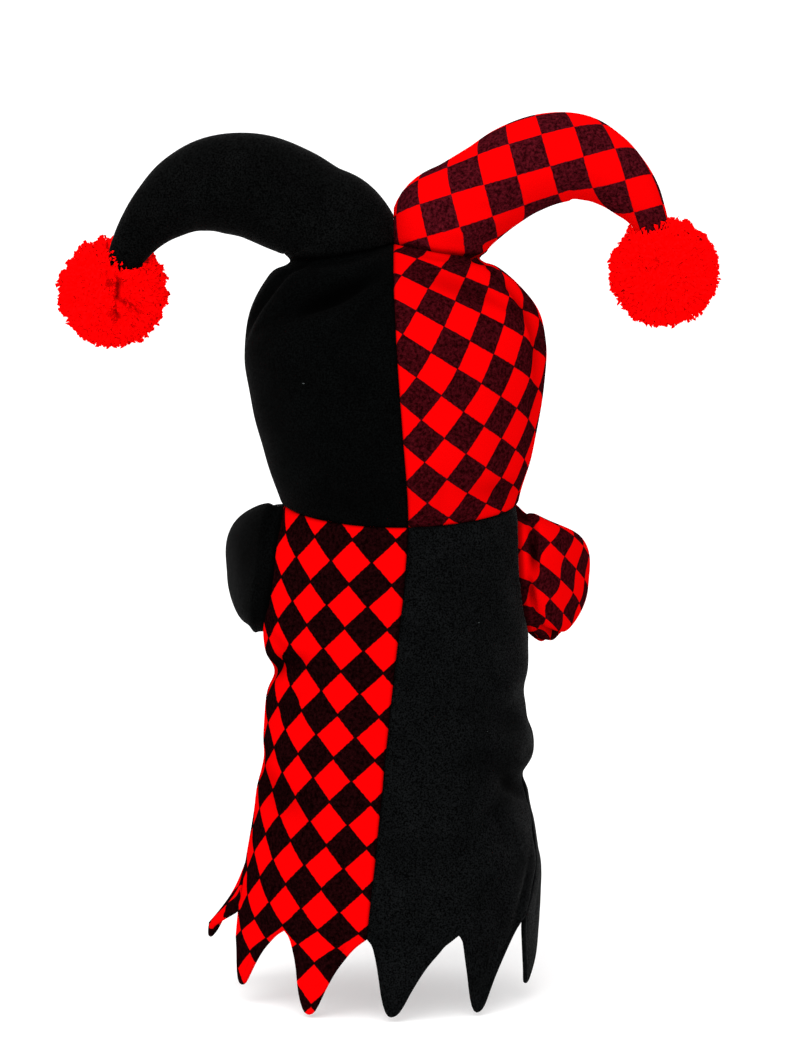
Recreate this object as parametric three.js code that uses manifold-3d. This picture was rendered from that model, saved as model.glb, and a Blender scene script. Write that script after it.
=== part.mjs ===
// A two-horned jester costume for a small dog, worn upright and seen from its back.
// Millimetres, +Z up along the wearer's back, the back towards -Y and the chest towards +Y.
// The origin is the middle of the neck seam, where the wearer's neck holds the costume.
// Left and right are the wearer's own: left is -X.
import * as THREE from "three";
import { mergeVertices } from "three/addons/utils/BufferGeometryUtils.js";
import Module from "manifold-3d";

const wasm = await Module();
wasm.setup();

// Cloth and seams
const CLOTH = 2; // wall of two-layer brushed knit
const SEAM_GAP = 0.3;
const HALF_GAP = SEAM_GAP / 2;

// Neck seam: its height at the nape, the shoulders and the throat
const NAPE_Z = 0;
const SHOULDER_Z = 5;
const THROAT_Z = -4;

// Hem: its valleys are at this height at the back, and the belly is cut shorter
const HEM_VALLEY_Z = -191;
const BELLY_RISE = 20;
// The points round the hem, from the chest seam round by the left, the back and the right: where each
// starts in degrees of turn, where its tip is across it, its length, and how far its tip swings out
const HEM_COLUMNS = ["from", "tip", "drop", "out"];
const HEM_POINTS = [
  [-180, 0.36, 28, 0],
  [-144, 0.36, 29, 0],
  [-108, 0.45, 24, 11.5],
  [-72, 0.32, 33, 2],
  [-36, 0.41, 38, 0],
  [0, 0.34, 37, 0],
  [36, 0.34, 39, 0],
  [72, 0.36, 39, -0.9],
  [108, 0.36, 29, 0],
  [144, 0.36, 28, 0],
];
const POINT_TURN = 360 / HEM_POINTS.length;
const BACK_POINTS = 2; // on each back panel; each front panel has three
const SWING_FROM_Z = -146; // points start to swing out here
const SWING_CURVE = 2.4;

// Crown of the hood, and the mean radius of body and hood, over which creases and gaps are measured
const HOOD_TOP_Z = 130;
const CROWN_X = -3;
const MEAN_RADIUS = 62;
const GAP_TURN = HALF_GAP / MEAN_RADIUS;
const NECK_BLEND = 0.22; // share of the hood's rise over which its neck curve fades

// Armhole: an ellipse seen from the side, running out at the neck seam
const ARMHOLE = { y: 6, z: -24, halfDepth: 24, halfHeight: 33 };

// Horns and pompoms
const HORN_FLAT = 0.92; // depth of a stuffed horn over its width
const POMPOM_CORE = 13.5;
const POMPOM_RADIUS = 25.4;
const LOCKS = 78;
const LOCK_ROOT = 1.9;
const LOCK_TIP = 3.3;
const TIP_CLEARING = 26; // no lock grows within this many degrees of the horn's tip

// Body rings: the outline's X on both sides, its Y at back and front, and the X of the centre back seam
const BODY_COLUMNS = ["z", "left", "right", "back", "front", "seam"];
const BODY_RINGS = [
  [10, -53, 53.5, -45.5, 45, 4],
  [4, -55.5, 55.5, -47, 46.5, 4],
  [-3, -58.5, 57.5, -49, 48.5, 3.8],
  [-14, -61.5, 59, -51.5, 51, 3],
  [-28, -63.5, 60, -53.5, 53, 2],
  [-45, -64.8, 60.6, -55, 55, 0],
  [-62, -64, 60.6, -55.5, 56.5, -2],
  [-74, -60.8, 61.2, -55.5, 57.5, -3.4],
  [-87, -63.4, 59, -56, 58.5, -4.8],
  [-105, -64.8, 63, -57, 60, -6.6],
  [-114, -65.8, 63.4, -57, 60.5, -7.6],
  [-124, -66.6, 58, -57.5, 61, -8.4],
  [-133, -67.8, 61, -58.5, 61.5, -9.4],
  [-147, -70, 64, -60, 62, -10.8],
  [-165, -72.6, 67, -61.5, 62.5, -12.8],
  [-192, -74.2, 66.8, -62, 63.5, -15.6],
  [-232, -76.5, 64, -61, 65, -19],
];

// Side seams: the turn from the centre back seam, in degrees, at each height
const SIDE_COLUMNS = ["z", "turn"];
const SIDE_SEAM = [
  [10, 94],
  [-58, 94],
  [-120, 92],
  [-165, 82],
  [-192, 72],
  [-232, 72],
];

// One hem point: side of the tip and share of the way from it to that side's valley, share of its drop
const POINT_COLUMNS = ["side", "away", "down"];
const BACK_POINT = [
  [-1, 1, 0],
  [-1, 0.8, 0.1],
  [-1, 0.58, 0.4],
  [-1, 0.38, 0.76],
  [-1, 0.2, 0.95],
  [1, 0, 1],
  [1, 0.13, 0.93],
  [1, 0.31, 0.64],
  [1, 0.52, 0.37],
  [1, 0.78, 0.13],
];
const FRONT_POINT = [
  [-1, 1, 0],
  [-1, 0.6, 0.38],
  [-1, 0.27, 0.9],
  [1, 0, 1],
  [1, 0.2, 0.82],
  [1, 0.55, 0.34],
];
// Heights down the body panels, as shares of the way from the neck seam to where the points start
const BODY_LEVELS = [0, 0.07, 0.15, 0.24, 0.32, 0.39, 0.46, 0.54, 0.61, 0.675, 0.74, 0.82, 0.91, 1];
const POINT_LEVELS = [0.3, 0.6, 0.82, 1];
const ABOVE_POINTS = 10; // from the valleys up to where the points start

// Soft troughs: turn in degrees, height, half length, slope in degrees, depth and half width
const CREASE_COLUMNS = ["turn", "z", "run", "slope", "depth", "width"];
const BODY_CREASES = [
  [-70, -76, 30, 14, 3.6, 6.5],
  [66, -124, 40, 22, 3.8, 7],
  [62, -92, 26, -12, 2, 7],
  [-60, -128, 30, -18, 1.6, 9],
  [128, -70, 40, 10, 3.5, 8],
  [-132, -104, 42, -12, 3.5, 8],
  [150, -140, 38, 16, 2.5, 9],
];
const HOOD_CREASES = [
  [-40, 116, 30, 20, 4, 6.5],
  [-68, 96, 34, 90, 2.6, 5.5],
  [68, 94, 34, 90, 2.6, 5.5],
  [30, 112, 20, -18, 2.4, 6],
  [-22, 12, 24, 4, 1.6, 6],
  [48, 14, 22, -8, 1.6, 6],
];

// Hood rings from the neck seam to the crown, at even steps of "rise"
const HOOD_COLUMNS = ["rise", "z", "left", "right", "back", "front", "seam"];
const HOOD_RINGS = [
  [0, 0, -55.5, 55.5, -47, 46.5, 4],
  [0.1, 13, -59.2, 58.4, -52.5, 49.5, 3.5],
  [0.2, 28, -63.6, 61.8, -56, 51.5, 2.5],
  [0.33, 48, -68.6, 65.4, -58.5, 52, 1],
  [0.46, 68, -72.2, 68.4, -59, 51, -0.5],
  [0.56, 83, -72.6, 68.2, -57, 48, -1.5],
  [0.66, 97, -69.8, 64.6, -52, 42, -2.2],
  [0.76, 109.5, -63.6, 54.6, -44.5, 34, -2.8],
  [0.85, 119, -55.5, 42.4, -35, 25, -3],
  [0.93, 126, -38, 27, -22, 13, -3],
  [1, HOOD_TOP_Z, CROWN_X, CROWN_X, -4, -4, CROWN_X],
];
const HOOD_ROWS = 18;
const HOOD_BACK_TURN = 104; // the hood's columns are even this far round from the back
const HOOD_BACK_COLUMNS = 9;
const HOOD_FACE_COLUMNS = 6;

// Face opening: where it starts and ends up the hood, and its half width as a turn in degrees
const FACE = { low: 0.09, high: 0.67, turn: 43, roundness: 0.55 };

// Horn axes, from inside the hood to the tip
const HORN_COLUMNS = ["x", "y", "z", "radius"];
const LEFT_HORN = [
  [-27, 0, 110, 25.6],
  [-28, 0, 125, 26.6],
  [-28.6, 0, 131, 27.6],
  [-31.8, 0, 137, 25.1],
  [-39.8, 0, 141.6, 23.9],
  [-52, 0, 148, 24.8],
  [-68, 0, 154.2, 24.6],
  [-85.5, 0, 155, 22.8],
  [-100, 0, 150.6, 19.2],
  [-111.8, 0, 142.4, 15],
  [-120, 0, 134, 11.8],
  [-126, -1, 125, 9.4],
  [-128.8, -1, 118, 8],
];
const RIGHT_HORN = [
  [16.8, 0, 110, 21.8],
  [17.2, 0, 125.5, 22.8],
  [20.8, 0, 137.8, 24.2],
  [31.6, 0, 146.6, 21.9],
  [43.8, 0, 154.8, 21.2],
  [55, 0, 161.8, 21.6],
  [68.4, 0, 166.8, 21.4],
  [82.2, 0, 167.6, 20.3],
  [93.7, 0, 163.2, 17.7],
  [103, 0, 156.4, 14.8],
  [110.2, 0, 148.6, 12.2],
  [115, 0, 141.4, 9.4],
  [119.6, 1, 132, 7],
];
const HORN_SIDES = 14;
const POMPOM_LEFT = new THREE.Vector3(-134.8, 10, 103.8);
const POMPOM_RIGHT = new THREE.Vector3(123.4, 5, 113.8);

// Sleeves: cuff centre, the way it faces, its half width and half height, how far the cloth runs
// straight out at its rear and front, how its top lifts there, the puff at rear, top, front and below,
// and the extra puff at its two rear corners
const SLEEVES = {
  left: {
    cuff: [-65, 57, -37],
    faces: [-0.24, 0.94, -0.24],
    halfWidth: 18,
    halfHeight: 21,
    leaves: [44, 26],
    lift: -10,
    arrives: 42,
    puff: [5, 4, 1.5, 2],
    corners: [7.5, 1.5],
  },
  right: {
    cuff: [72, 52, -42],
    faces: [0.36, 0.9, -0.26],
    halfWidth: 19.5,
    halfHeight: 22,
    leaves: [54, 30],
    lift: -36,
    arrives: 42,
    puff: [6, 0, 1.5, 3],
    corners: [10, 0.5],
  },
};
const SLEEVE_AROUND = 24;
const SLEEVE_ROWS = 9;
// Sleeve creases: place round the sleeve in degrees, share of its length, depth and both half widths
const SLEEVE_CREASE_COLUMNS = ["around", "along", "depth", "spread", "reach"];
const SLEEVE_CREASES = {
  left: [
    [18, 0.3, 2.2, 22, 0.16],
    [-62, 0.4, 2.4, 20, 0.2],
  ],
  right: [
    [24, 0.3, 3.2, 26, 0.14],
    [-48, 0.42, 3, 24, 0.16],
    [84, 0.5, 2, 20, 0.2],
  ],
};

// Colours
const RED_CHECK = new THREE.MeshStandardMaterial({ color: 0xc01018, roughness: 0.85, metalness: 0 });
const BLACK_FLEECE = new THREE.MeshStandardMaterial({ color: 0x101112, roughness: 0.95, metalness: 0 });
const RED_YARN = new THREE.MeshStandardMaterial({ color: 0xee0a10, roughness: 0.9, metalness: 0 });

const radians = THREE.MathUtils.degToRad;

// A table's rows as objects with its named columns.
function named(columns, rows) {
  return rows.map((row) => Object.fromEntries(columns.map((name, i) => [name, row[i]])));
}

// The smooth value of one column where the key column is at "at": a cubic through the rows.
function smoothColumn(rows, key, at, column) {
  const falling = rows[0][key] > rows[rows.length - 1][key];
  const last = rows.length - 2;
  const within = (end) => (falling ? at >= end : at <= end);
  let i = rows.findIndex((row, n) => n <= last && within(rows[n + 1][key]));
  if (i < 0) i = last;
  const slope = (n) => {
    const a = rows[Math.max(n - 1, 0)];
    const b = rows[Math.min(n + 1, rows.length - 1)];
    return (b[column] - a[column]) / (b[key] - a[key]);
  };
  const span = rows[i + 1][key] - rows[i][key];
  const t = THREE.MathUtils.clamp((at - rows[i][key]) / span, 0, 1);
  const t2 = t * t;
  const t3 = t2 * t;
  return (
    (2 * t3 - 3 * t2 + 1) * rows[i][column] +
    (t3 - 2 * t2 + t) * span * slope(i) +
    (-2 * t3 + 3 * t2) * rows[i + 1][column] +
    (t3 - t2) * span * slope(i + 1)
  );
}

const bodyRings = named(BODY_COLUMNS, BODY_RINGS);
const hoodRings = named(HOOD_COLUMNS, HOOD_RINGS);
const sideSeam = named(SIDE_COLUMNS, SIDE_SEAM);
const hemPoints = named(HEM_COLUMNS, HEM_POINTS);
const bodyCreases = named(CREASE_COLUMNS, BODY_CREASES);
const hoodCreases = named(CREASE_COLUMNS, HOOD_CREASES);

// The half widths and centre of a ring, and the turn of its centre back seam.
function ringAt(rows, key, at) {
  const value = (column) => smoothColumn(rows, key, at, column);
  const [left, right, back, front] = ["left", "right", "back", "front"].map(value);
  const halfWidth = Math.max((right - left) / 2, 0);
  const middle = (left + right) / 2;
  const seamTurn = halfWidth > 1 ? Math.asin((value("seam") - middle) / halfWidth) : 0;
  const depthMiddle = (back + front) / 2;
  const halfDepth = Math.max((front - back) / 2, 0);
  return { middle, halfWidth, depthMiddle, halfDepth, seamTurn };
}

function onRing(ring, turn, z) {
  return new THREE.Vector3(
    ring.middle + ring.halfWidth * Math.sin(turn),
    ring.depthMiddle - ring.halfDepth * Math.cos(turn),
    z,
  );
}

// Height of the neck seam at a turn from the nape.
function neckZ(turn) {
  const side = Math.sin(turn) ** 2;
  const front = (1 - Math.cos(turn)) / 2;
  return THREE.MathUtils.lerp(THREE.MathUtils.lerp(NAPE_Z, THROAT_Z, front), SHOULDER_Z, side);
}

// How deep the soft troughs are at a turn and height.
function creaseDepth(creases, turn, z) {
  return creases.reduce((sum, crease) => {
    const across = (turn - radians(crease.turn)) * MEAN_RADIUS;
    const up = z - crease.z;
    const slope = radians(crease.slope);
    const along = across * Math.cos(slope) + up * Math.sin(slope);
    const off = -across * Math.sin(slope) + up * Math.cos(slope);
    return sum + crease.depth * Math.exp(-((along / crease.run) ** 2) - (off / crease.width) ** 2);
  }, 0);
}

// A point moved by "out" along the surface's outward normal.
function moved(surface, u, v, out, du, dv) {
  const at = surface(u, v);
  const across = surface(u + du, v).sub(surface(u - du, v));
  const up = surface(u, v + dv).sub(surface(u, v - dv));
  const normal = across.cross(up);
  if (normal.lengthSq() < 1e-12) normal.set(0, 0, 1);
  return at.addScaledVector(normal.normalize(), out);
}

// Body surface at a turn from the centre back seam and a height; the cloth is twisted on the wearer.
function bodySmooth(turn, z) {
  const ring = ringAt(bodyRings, "z", z);
  return onRing(ring, turn + ring.seamTurn, z);
}
// Steps over which a surface's slope is measured, and the part of the crown where creases fade out
const TURN_STEP = 0.01;
const Z_STEP = 0.5;
const RISE_STEP = 0.003;
const CROWN_FADE = 0.1;

function bodyOut(turn, z, out) {
  const dent = creaseDepth(bodyCreases, turn, z);
  return moved(bodySmooth, turn, z, out - dent, TURN_STEP, Z_STEP);
}

// The steps across the hem between two turns, in degrees: each with its turn, height and swing.
function hemSteps(start, end, shape) {
  const steps = [];
  const rows = named(POINT_COLUMNS, shape);
  for (const point of hemPoints) {
    if (point.from < start - 1e-6 || point.from > end - 1e-6) continue;
    for (const row of rows) {
      const width = row.side < 0 ? point.tip : 1 - point.tip;
      const across = point.tip + row.side * row.away * width;
      steps.push(hemStep(point.from + across * POINT_TURN, point, row.down));
    }
  }
  steps.push(hemStep(end, hemPoints[0], 0));
  return steps;
}

function hemStep(turn, point, down) {
  const front = (1 - Math.cos(radians(turn))) / 2;
  const valley = HEM_VALLEY_Z + BELLY_RISE * front ** 1.5;
  const out = hemPoints.reduce((sum, other) => {
    const off = turn - other.from - other.tip * POINT_TURN;
    return sum + other.out * Math.exp(-((off / (POINT_TURN / 2)) ** 2));
  }, 0);
  return { turn, valley, z: valley - down * point.drop, out };
}

// A closed solid between an outer and an inner grid of points, with its edges closed.
function shellGeometry(outer, inner, wraps) {
  const rows = outer.length;
  const columns = outer[0].length;
  const points = [...outer.flat(), ...inner.flat()];
  const at = (layer, row, column) => layer * rows * columns + row * columns + (column % columns);
  const faces = [];
  const quad = (a, b, c, d) => faces.push([a, b, c], [a, c, d]);
  const across = wraps ? columns : columns - 1;
  for (let row = 0; row < rows - 1; row++) {
    for (let column = 0; column < across; column++) {
      quad(at(0, row, column), at(0, row, column + 1), at(0, row + 1, column + 1), at(0, row + 1, column));
      quad(at(1, row, column), at(1, row + 1, column), at(1, row + 1, column + 1), at(1, row, column + 1));
    }
  }
  for (let column = 0; column < across; column++) {
    quad(at(0, 0, column), at(1, 0, column), at(1, 0, column + 1), at(0, 0, column + 1));
    const end = rows - 1;
    quad(at(0, end, column), at(0, end, column + 1), at(1, end, column + 1), at(1, end, column));
  }
  if (!wraps) {
    for (let row = 0; row < rows - 1; row++) {
      quad(at(0, row, 0), at(0, row + 1, 0), at(1, row + 1, 0), at(1, row, 0));
      const end = columns - 1;
      quad(at(0, row, end), at(1, row, end), at(1, row + 1, end), at(0, row + 1, end));
    }
  }
  return closedGeometry(points, faces);
}

// A geometry with shared points merged, no flat triangles, and faces pointing out.
function closedGeometry(points, faces) {
  const positions = new Float32Array(points.flatMap((p) => [p.x, p.y, p.z]));
  const geometry = new THREE.BufferGeometry();
  geometry.setAttribute("position", new THREE.BufferAttribute(positions, 3));
  geometry.setIndex(faces.flat());
  const merged = mergeVertices(geometry, 1e-3);
  const place = merged.getAttribute("position");
  const index = merged.getIndex().array;
  const kept = [];
  let volume = 0;
  const [a, b, c] = [new THREE.Vector3(), new THREE.Vector3(), new THREE.Vector3()];
  for (let i = 0; i < index.length; i += 3) {
    const [p, q, r] = [index[i], index[i + 1], index[i + 2]];
    if (p === q || q === r || r === p) continue;
    kept.push(p, q, r);
    a.fromBufferAttribute(place, p);
    b.fromBufferAttribute(place, q);
    c.fromBufferAttribute(place, r);
    volume += a.dot(b.cross(c));
  }
  merged.setIndex(volume < 0 ? kept.reverse() : kept);
  return merged;
}

function toSolid(geometry) {
  const bare = new THREE.BufferGeometry();
  bare.setAttribute("position", geometry.getAttribute("position"));
  bare.setIndex(geometry.getIndex());
  const merged = mergeVertices(bare, 1e-3);
  return new wasm.Manifold(
    new wasm.Mesh({
      numProp: 3,
      vertProperties: new Float32Array(merged.getAttribute("position").array),
      triVerts: new Uint32Array(merged.getIndex().array),
    }),
  );
}

// The largest body of a solid, as a geometry.
function toGeometry(solid) {
  const largest = solid.decompose().reduce((a, b) => (b.volume() > a.volume() ? b : a));
  const mesh = largest.getMesh();
  const geometry = new THREE.BufferGeometry();
  geometry.setAttribute("position", new THREE.BufferAttribute(new Float32Array(mesh.vertProperties), 3));
  geometry.setIndex(new THREE.BufferAttribute(new Uint32Array(mesh.triVerts), 1));
  return geometry;
}

function part(name, geometry, material) {
  const flat = geometry.toNonIndexed();
  flat.computeVertexNormals();
  const mesh = new THREE.Mesh(flat, material);
  mesh.name = name;
  return mesh;
}

// One body panel between the centre seam and the side seam; a side of -1 is the wearer's left.
function bodyPanel(side, front) {
  const seamTurnAt = (z) => smoothColumn(sideSeam, "z", z, "turn");
  const centre = front ? 180 : 0;
  const hemSide = BACK_POINTS * POINT_TURN;
  const [start, end] = [side * centre, side * hemSide].sort((a, b) => a - b);
  const steps = hemSteps(start, end, front ? FRONT_POINT : BACK_POINT);
  const levels = [...BODY_LEVELS.map((down) => [down, 0]), ...POINT_LEVELS.map((down) => [1, down])];
  const layer = (out) =>
    levels.map(([down, pointDown]) =>
      steps.map((hem) => {
        const share = Math.abs((Math.abs(hem.turn) - centre) / (hemSide - centre));
        const topTurn = side * THREE.MathUtils.lerp(centre, seamTurnAt(0), share);
        const neck = neckZ(radians(topTurn) + ringAt(bodyRings, "z", 0).seamTurn) - HALF_GAP;
        const z = THREE.MathUtils.lerp(
          THREE.MathUtils.lerp(neck, hem.valley + ABOVE_POINTS, down),
          hem.z,
          pointDown,
        );
        const turnHere = THREE.MathUtils.lerp(centre, seamTurnAt(z), share);
        const trim = share * GAP_TURN;
        const turn = side * (radians(turnHere) + (front ? trim : -trim));
        const low = THREE.MathUtils.clamp((SWING_FROM_Z - z) / (SWING_FROM_Z - HEM_VALLEY_Z), 0, 1.2);
        const swing = hem.out * low ** SWING_CURVE;
        return bodyOut(turn, z, out + swing).add(new THREE.Vector3(side * HALF_GAP, 0, 0));
      }),
    );
  return shellGeometry(layer(0), layer(-CLOTH), false);
}

// The cutter for an armhole, grown by a margin, on the given side.
function armholeCutter(side, grown) {
  const outline = new THREE.Shape();
  const [halfDepth, halfHeight] = [ARMHOLE.halfDepth + grown, ARMHOLE.halfHeight + grown];
  outline.absellipse(ARMHOLE.y, ARMHOLE.z, halfDepth, halfHeight, 0, Math.PI * 2);
  const length = 60;
  const options = { depth: length, bevelEnabled: false, curveSegments: 20 };
  const geometry = new THREE.ExtrudeGeometry(outline, options);
  // The outline's own axes are the part's Y and Z, and it is pulled out along X.
  const turned = new THREE.Matrix4().makeBasis(
    new THREE.Vector3(0, 1, 0),
    new THREE.Vector3(0, 0, 1),
    new THREE.Vector3(1, 0, 0),
  );
  geometry.applyMatrix4(turned);
  const inside = 20; // it starts well inside the body
  geometry.translate(side < 0 ? -inside - length : inside, 0, 0);
  return toSolid(geometry);
}

function cutBodyPanel(side, front) {
  return toGeometry(toSolid(bodyPanel(side, front)).subtract(armholeCutter(side, SEAM_GAP)));
}

// Hood surface at a turn from the centre back seam and a share of its rise.
function hoodSmooth(turn, rise) {
  const ring = ringAt(hoodRings, "rise", rise);
  const level = smoothColumn(hoodRings, "rise", rise, "z");
  const whole = turn + ring.seamTurn;
  const neckShare = 1 - THREE.MathUtils.smoothstep(rise, 0, NECK_BLEND);
  return onRing(ring, whole, level + neckShare * (neckZ(whole) + HALF_GAP));
}

function hoodOut(turn, rise, out) {
  const held = THREE.MathUtils.clamp(rise, RISE_STEP, 0.985);
  const level = smoothColumn(hoodRings, "rise", rise, "z");
  const dent = creaseDepth(hoodCreases, turn, level) * Math.min(1, (1 - rise) / CROWN_FADE);
  const at = hoodSmooth(turn, rise);
  const step = moved(hoodSmooth, turn, held, 1, TURN_STEP, RISE_STEP).sub(hoodSmooth(turn, held));
  if (rise >= 1) step.set(0, 0, 1);
  return at.addScaledVector(step, out - dent);
}

// Half the face opening's width, as a turn, at a share of the hood's rise.
function faceTurn(rise) {
  if (rise <= FACE.low || rise >= FACE.high) return 0;
  const share = (rise - FACE.low) / (FACE.high - FACE.low);
  return radians(FACE.turn) * Math.sin(Math.PI * share) ** FACE.roundness;
}

// Rows of the hood, closer together where the face opening starts and ends.
function hoodRows() {
  const rows = Array.from({ length: HOOD_ROWS + 1 }, (_, i) => i / HOOD_ROWS);
  const extra = [FACE.low, FACE.low + 0.015, FACE.high - 0.015, FACE.high];
  return [...rows.filter((r) => extra.every((e) => Math.abs(r - e) > 0.012)), ...extra].sort((a, b) => a - b);
}

function hoodPanel(side) {
  const rows = hoodRows();
  const layer = (out) =>
    rows.map((rise) =>
      Array.from({ length: HOOD_BACK_COLUMNS + HOOD_FACE_COLUMNS + 1 }, (_, i) => {
        const even = radians(HOOD_BACK_TURN);
        const toFace = Math.max(i / HOOD_BACK_COLUMNS, 1) - 1;
        const faceShare = (toFace * HOOD_BACK_COLUMNS) / HOOD_FACE_COLUMNS;
        const faceSpan = Math.PI - faceTurn(rise) - even;
        const turn = even * Math.min(i / HOOD_BACK_COLUMNS, 1) + faceSpan * faceShare;
        return hoodOut(side * turn, rise, out).add(new THREE.Vector3(side * HALF_GAP, 0, 0));
      }),
    );
  return shellGeometry(layer(0), layer(-CLOTH), false);
}

// The hood's outer form as a filled solid, grown by a margin, which shapes the horns' bases.
function hoodFilled(grown) {
  const around = 44;
  const lowest = 0.5;
  const steps = 14;
  const points = [];
  const faces = [];
  for (let i = 0; i < steps; i++) {
    const rise = THREE.MathUtils.lerp(lowest, 1, i / steps);
    for (let k = 0; k < around; k++) points.push(hoodOut(((k / around) * 2 - 1) * Math.PI, rise, grown));
  }
  const top = points.push(hoodOut(0, 1, grown)) - 1;
  const bottom = points.push(new THREE.Vector3(0, 0, points[0].z)) - 1;
  for (let k = 0; k < around; k++) {
    const next = (k + 1) % around;
    for (let i = 0; i < steps - 1; i++) {
      const [a, b, c, d] = [i * around + k, i * around + next, (i + 1) * around + next, (i + 1) * around + k];
      faces.push([a, b, c], [a, c, d]);
    }
    faces.push([(steps - 1) * around + k, (steps - 1) * around + next, top], [next, k, bottom]);
  }
  return toSolid(closedGeometry(points, faces));
}

// A stuffed horn along its axis, with its radius grown by a margin, closed at both ends.
function hornTube(axisRows, grown) {
  const rows = named(HORN_COLUMNS, axisRows);
  const axis = new THREE.CatmullRomCurve3(rows.map((row) => new THREE.Vector3(row.x, row.y, row.z)));
  const stepsPerRow = 2;
  const steps = (rows.length - 1) * stepsPerRow;
  const points = [];
  const faces = [];
  const depthWay = new THREE.Vector3(0, 1, 0);
  for (let i = 0; i <= steps; i++) {
    const share = i / steps;
    const at = axis.getPoint(share);
    const along = axis.getTangent(share);
    const across = new THREE.Vector3().crossVectors(depthWay, along).normalize();
    const [low, high] = [rows[Math.floor(i / stepsPerRow)], rows[Math.ceil(i / stepsPerRow)]];
    const radius = (low.radius + high.radius) / 2 + grown;
    for (let k = 0; k < HORN_SIDES; k++) {
      const turn = ((k + 0.5) / HORN_SIDES) * Math.PI * 2;
      const ringPoint = at.clone().addScaledVector(across, radius * Math.cos(turn));
      points.push(ringPoint.addScaledVector(depthWay, radius * HORN_FLAT * Math.sin(turn)));
    }
  }
  const root = points.push(axis.getPoint(0)) - 1;
  const tipOut = rows[rows.length - 1].radius * 0.5 + grown;
  const tip = points.push(axis.getPoint(1).addScaledVector(axis.getTangent(1), tipOut)) - 1;
  for (let k = 0; k < HORN_SIDES; k++) {
    const next = (k + 1) % HORN_SIDES;
    for (let i = 0; i < steps; i++) {
      const [a, b] = [i * HORN_SIDES + k, i * HORN_SIDES + next];
      faces.push([a, b, b + HORN_SIDES], [a, b + HORN_SIDES, a + HORN_SIDES]);
    }
    faces.push([next, k, root], [steps * HORN_SIDES + k, steps * HORN_SIDES + next, tip]);
  }
  return toSolid(closedGeometry(points, faces));
}

// Half space on one side of the centre seam, which keeps the two horns apart.
function sideBlock(side) {
  const size = 400;
  const block = new THREE.BoxGeometry(size, size, size);
  block.translate(side * (size / 2 + HALF_GAP) + CROWN_X, 0, 0);
  return toSolid(block);
}

function horn(side, axisRows) {
  const facetHeight = 0.3; // how far the hood's flat facets fall inside its true curve
  const whole = hornTube(axisRows, 0).intersect(sideBlock(side));
  return toGeometry(whole.subtract(hoodFilled(SEAM_GAP + facetHeight)));
}

// Even directions over a sphere, after the golden angle.
function spreadDirections(count) {
  const golden = Math.PI * (3 - Math.sqrt(5));
  return Array.from({ length: count }, (_, i) => {
    const z = 1 - (2 * i + 1) / count;
    const ring = Math.sqrt(1 - z * z);
    return new THREE.Vector3(ring * Math.cos(golden * i), ring * Math.sin(golden * i), z);
  });
}

// One lock of yarn: three-sided, rooted in the core, wider and flat at its cut end.
function lock(direction, index) {
  const points = [];
  const faces = [];
  const helper = Math.abs(direction.z) < 0.9 ? new THREE.Vector3(0, 0, 1) : new THREE.Vector3(1, 0, 0);
  const across = new THREE.Vector3().crossVectors(direction, helper).normalize();
  const other = new THREE.Vector3().crossVectors(direction, across);
  const unevenness = 0.9 + 0.1 * Math.abs(Math.sin(index * 2.7));
  const ends = [
    [POMPOM_CORE * 0.8, LOCK_ROOT],
    [POMPOM_RADIUS * unevenness, LOCK_TIP],
  ];
  ends.forEach(([reach, half]) => {
    for (let k = 0; k < 3; k++) {
      const turn = index + (k * Math.PI * 2) / 3;
      points.push(
        direction
          .clone()
          .multiplyScalar(reach)
          .addScaledVector(across, half * Math.cos(turn))
          .addScaledVector(other, half * Math.sin(turn)),
      );
    }
  });
  for (let k = 0; k < 3; k++) {
    const next = (k + 1) % 3;
    faces.push([k, next, next + 3], [k, next + 3, k + 3]);
  }
  faces.push([0, 2, 1], [3, 4, 5]);
  return toSolid(closedGeometry(points, faces));
}

// A pompom: locks fused to a round core, hollowed where the horn's tip sits in it.
function pompom(centre, axisRows) {
  const tipRow = axisRows[axisRows.length - 1];
  const toTip = new THREE.Vector3(tipRow[0], tipRow[1], tipRow[2]).sub(centre).normalize();
  const clear = Math.cos(radians(TIP_CLEARING));
  const core = toSolid(new THREE.IcosahedronGeometry(POMPOM_CORE, 1));
  const locks = spreadDirections(LOCKS)
    .filter((direction) => direction.dot(toTip) < clear)
    .map(lock);
  const whole = wasm.Manifold.union([core, ...locks]);
  const placed = whole.translate(centre.x, centre.y, centre.z);
  return toGeometry(placed.subtract(hornTube(axisRows, SEAM_GAP)));
}

// Where the armhole's edge meets the body's outer surface, inset by a margin.
function armholeRim(side, turn, inset) {
  const y = ARMHOLE.y - (ARMHOLE.halfDepth - inset) * Math.cos(turn);
  const wantedZ = ARMHOLE.z + (ARMHOLE.halfHeight - inset) * Math.sin(turn);
  const ringTurn = (z) => {
    const ring = ringAt(bodyRings, "z", z);
    return Math.acos(THREE.MathUtils.clamp((ring.depthMiddle - y) / ring.halfDepth, -1, 1));
  };
  const z = Math.min(wantedZ, neckZ(ringTurn(wantedZ)) - HALF_GAP - inset);
  const ring = ringAt(bodyRings, "z", z);
  return new THREE.Vector3(ring.middle + side * ring.halfWidth * Math.sin(ringTurn(z)), y, z);
}

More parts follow.
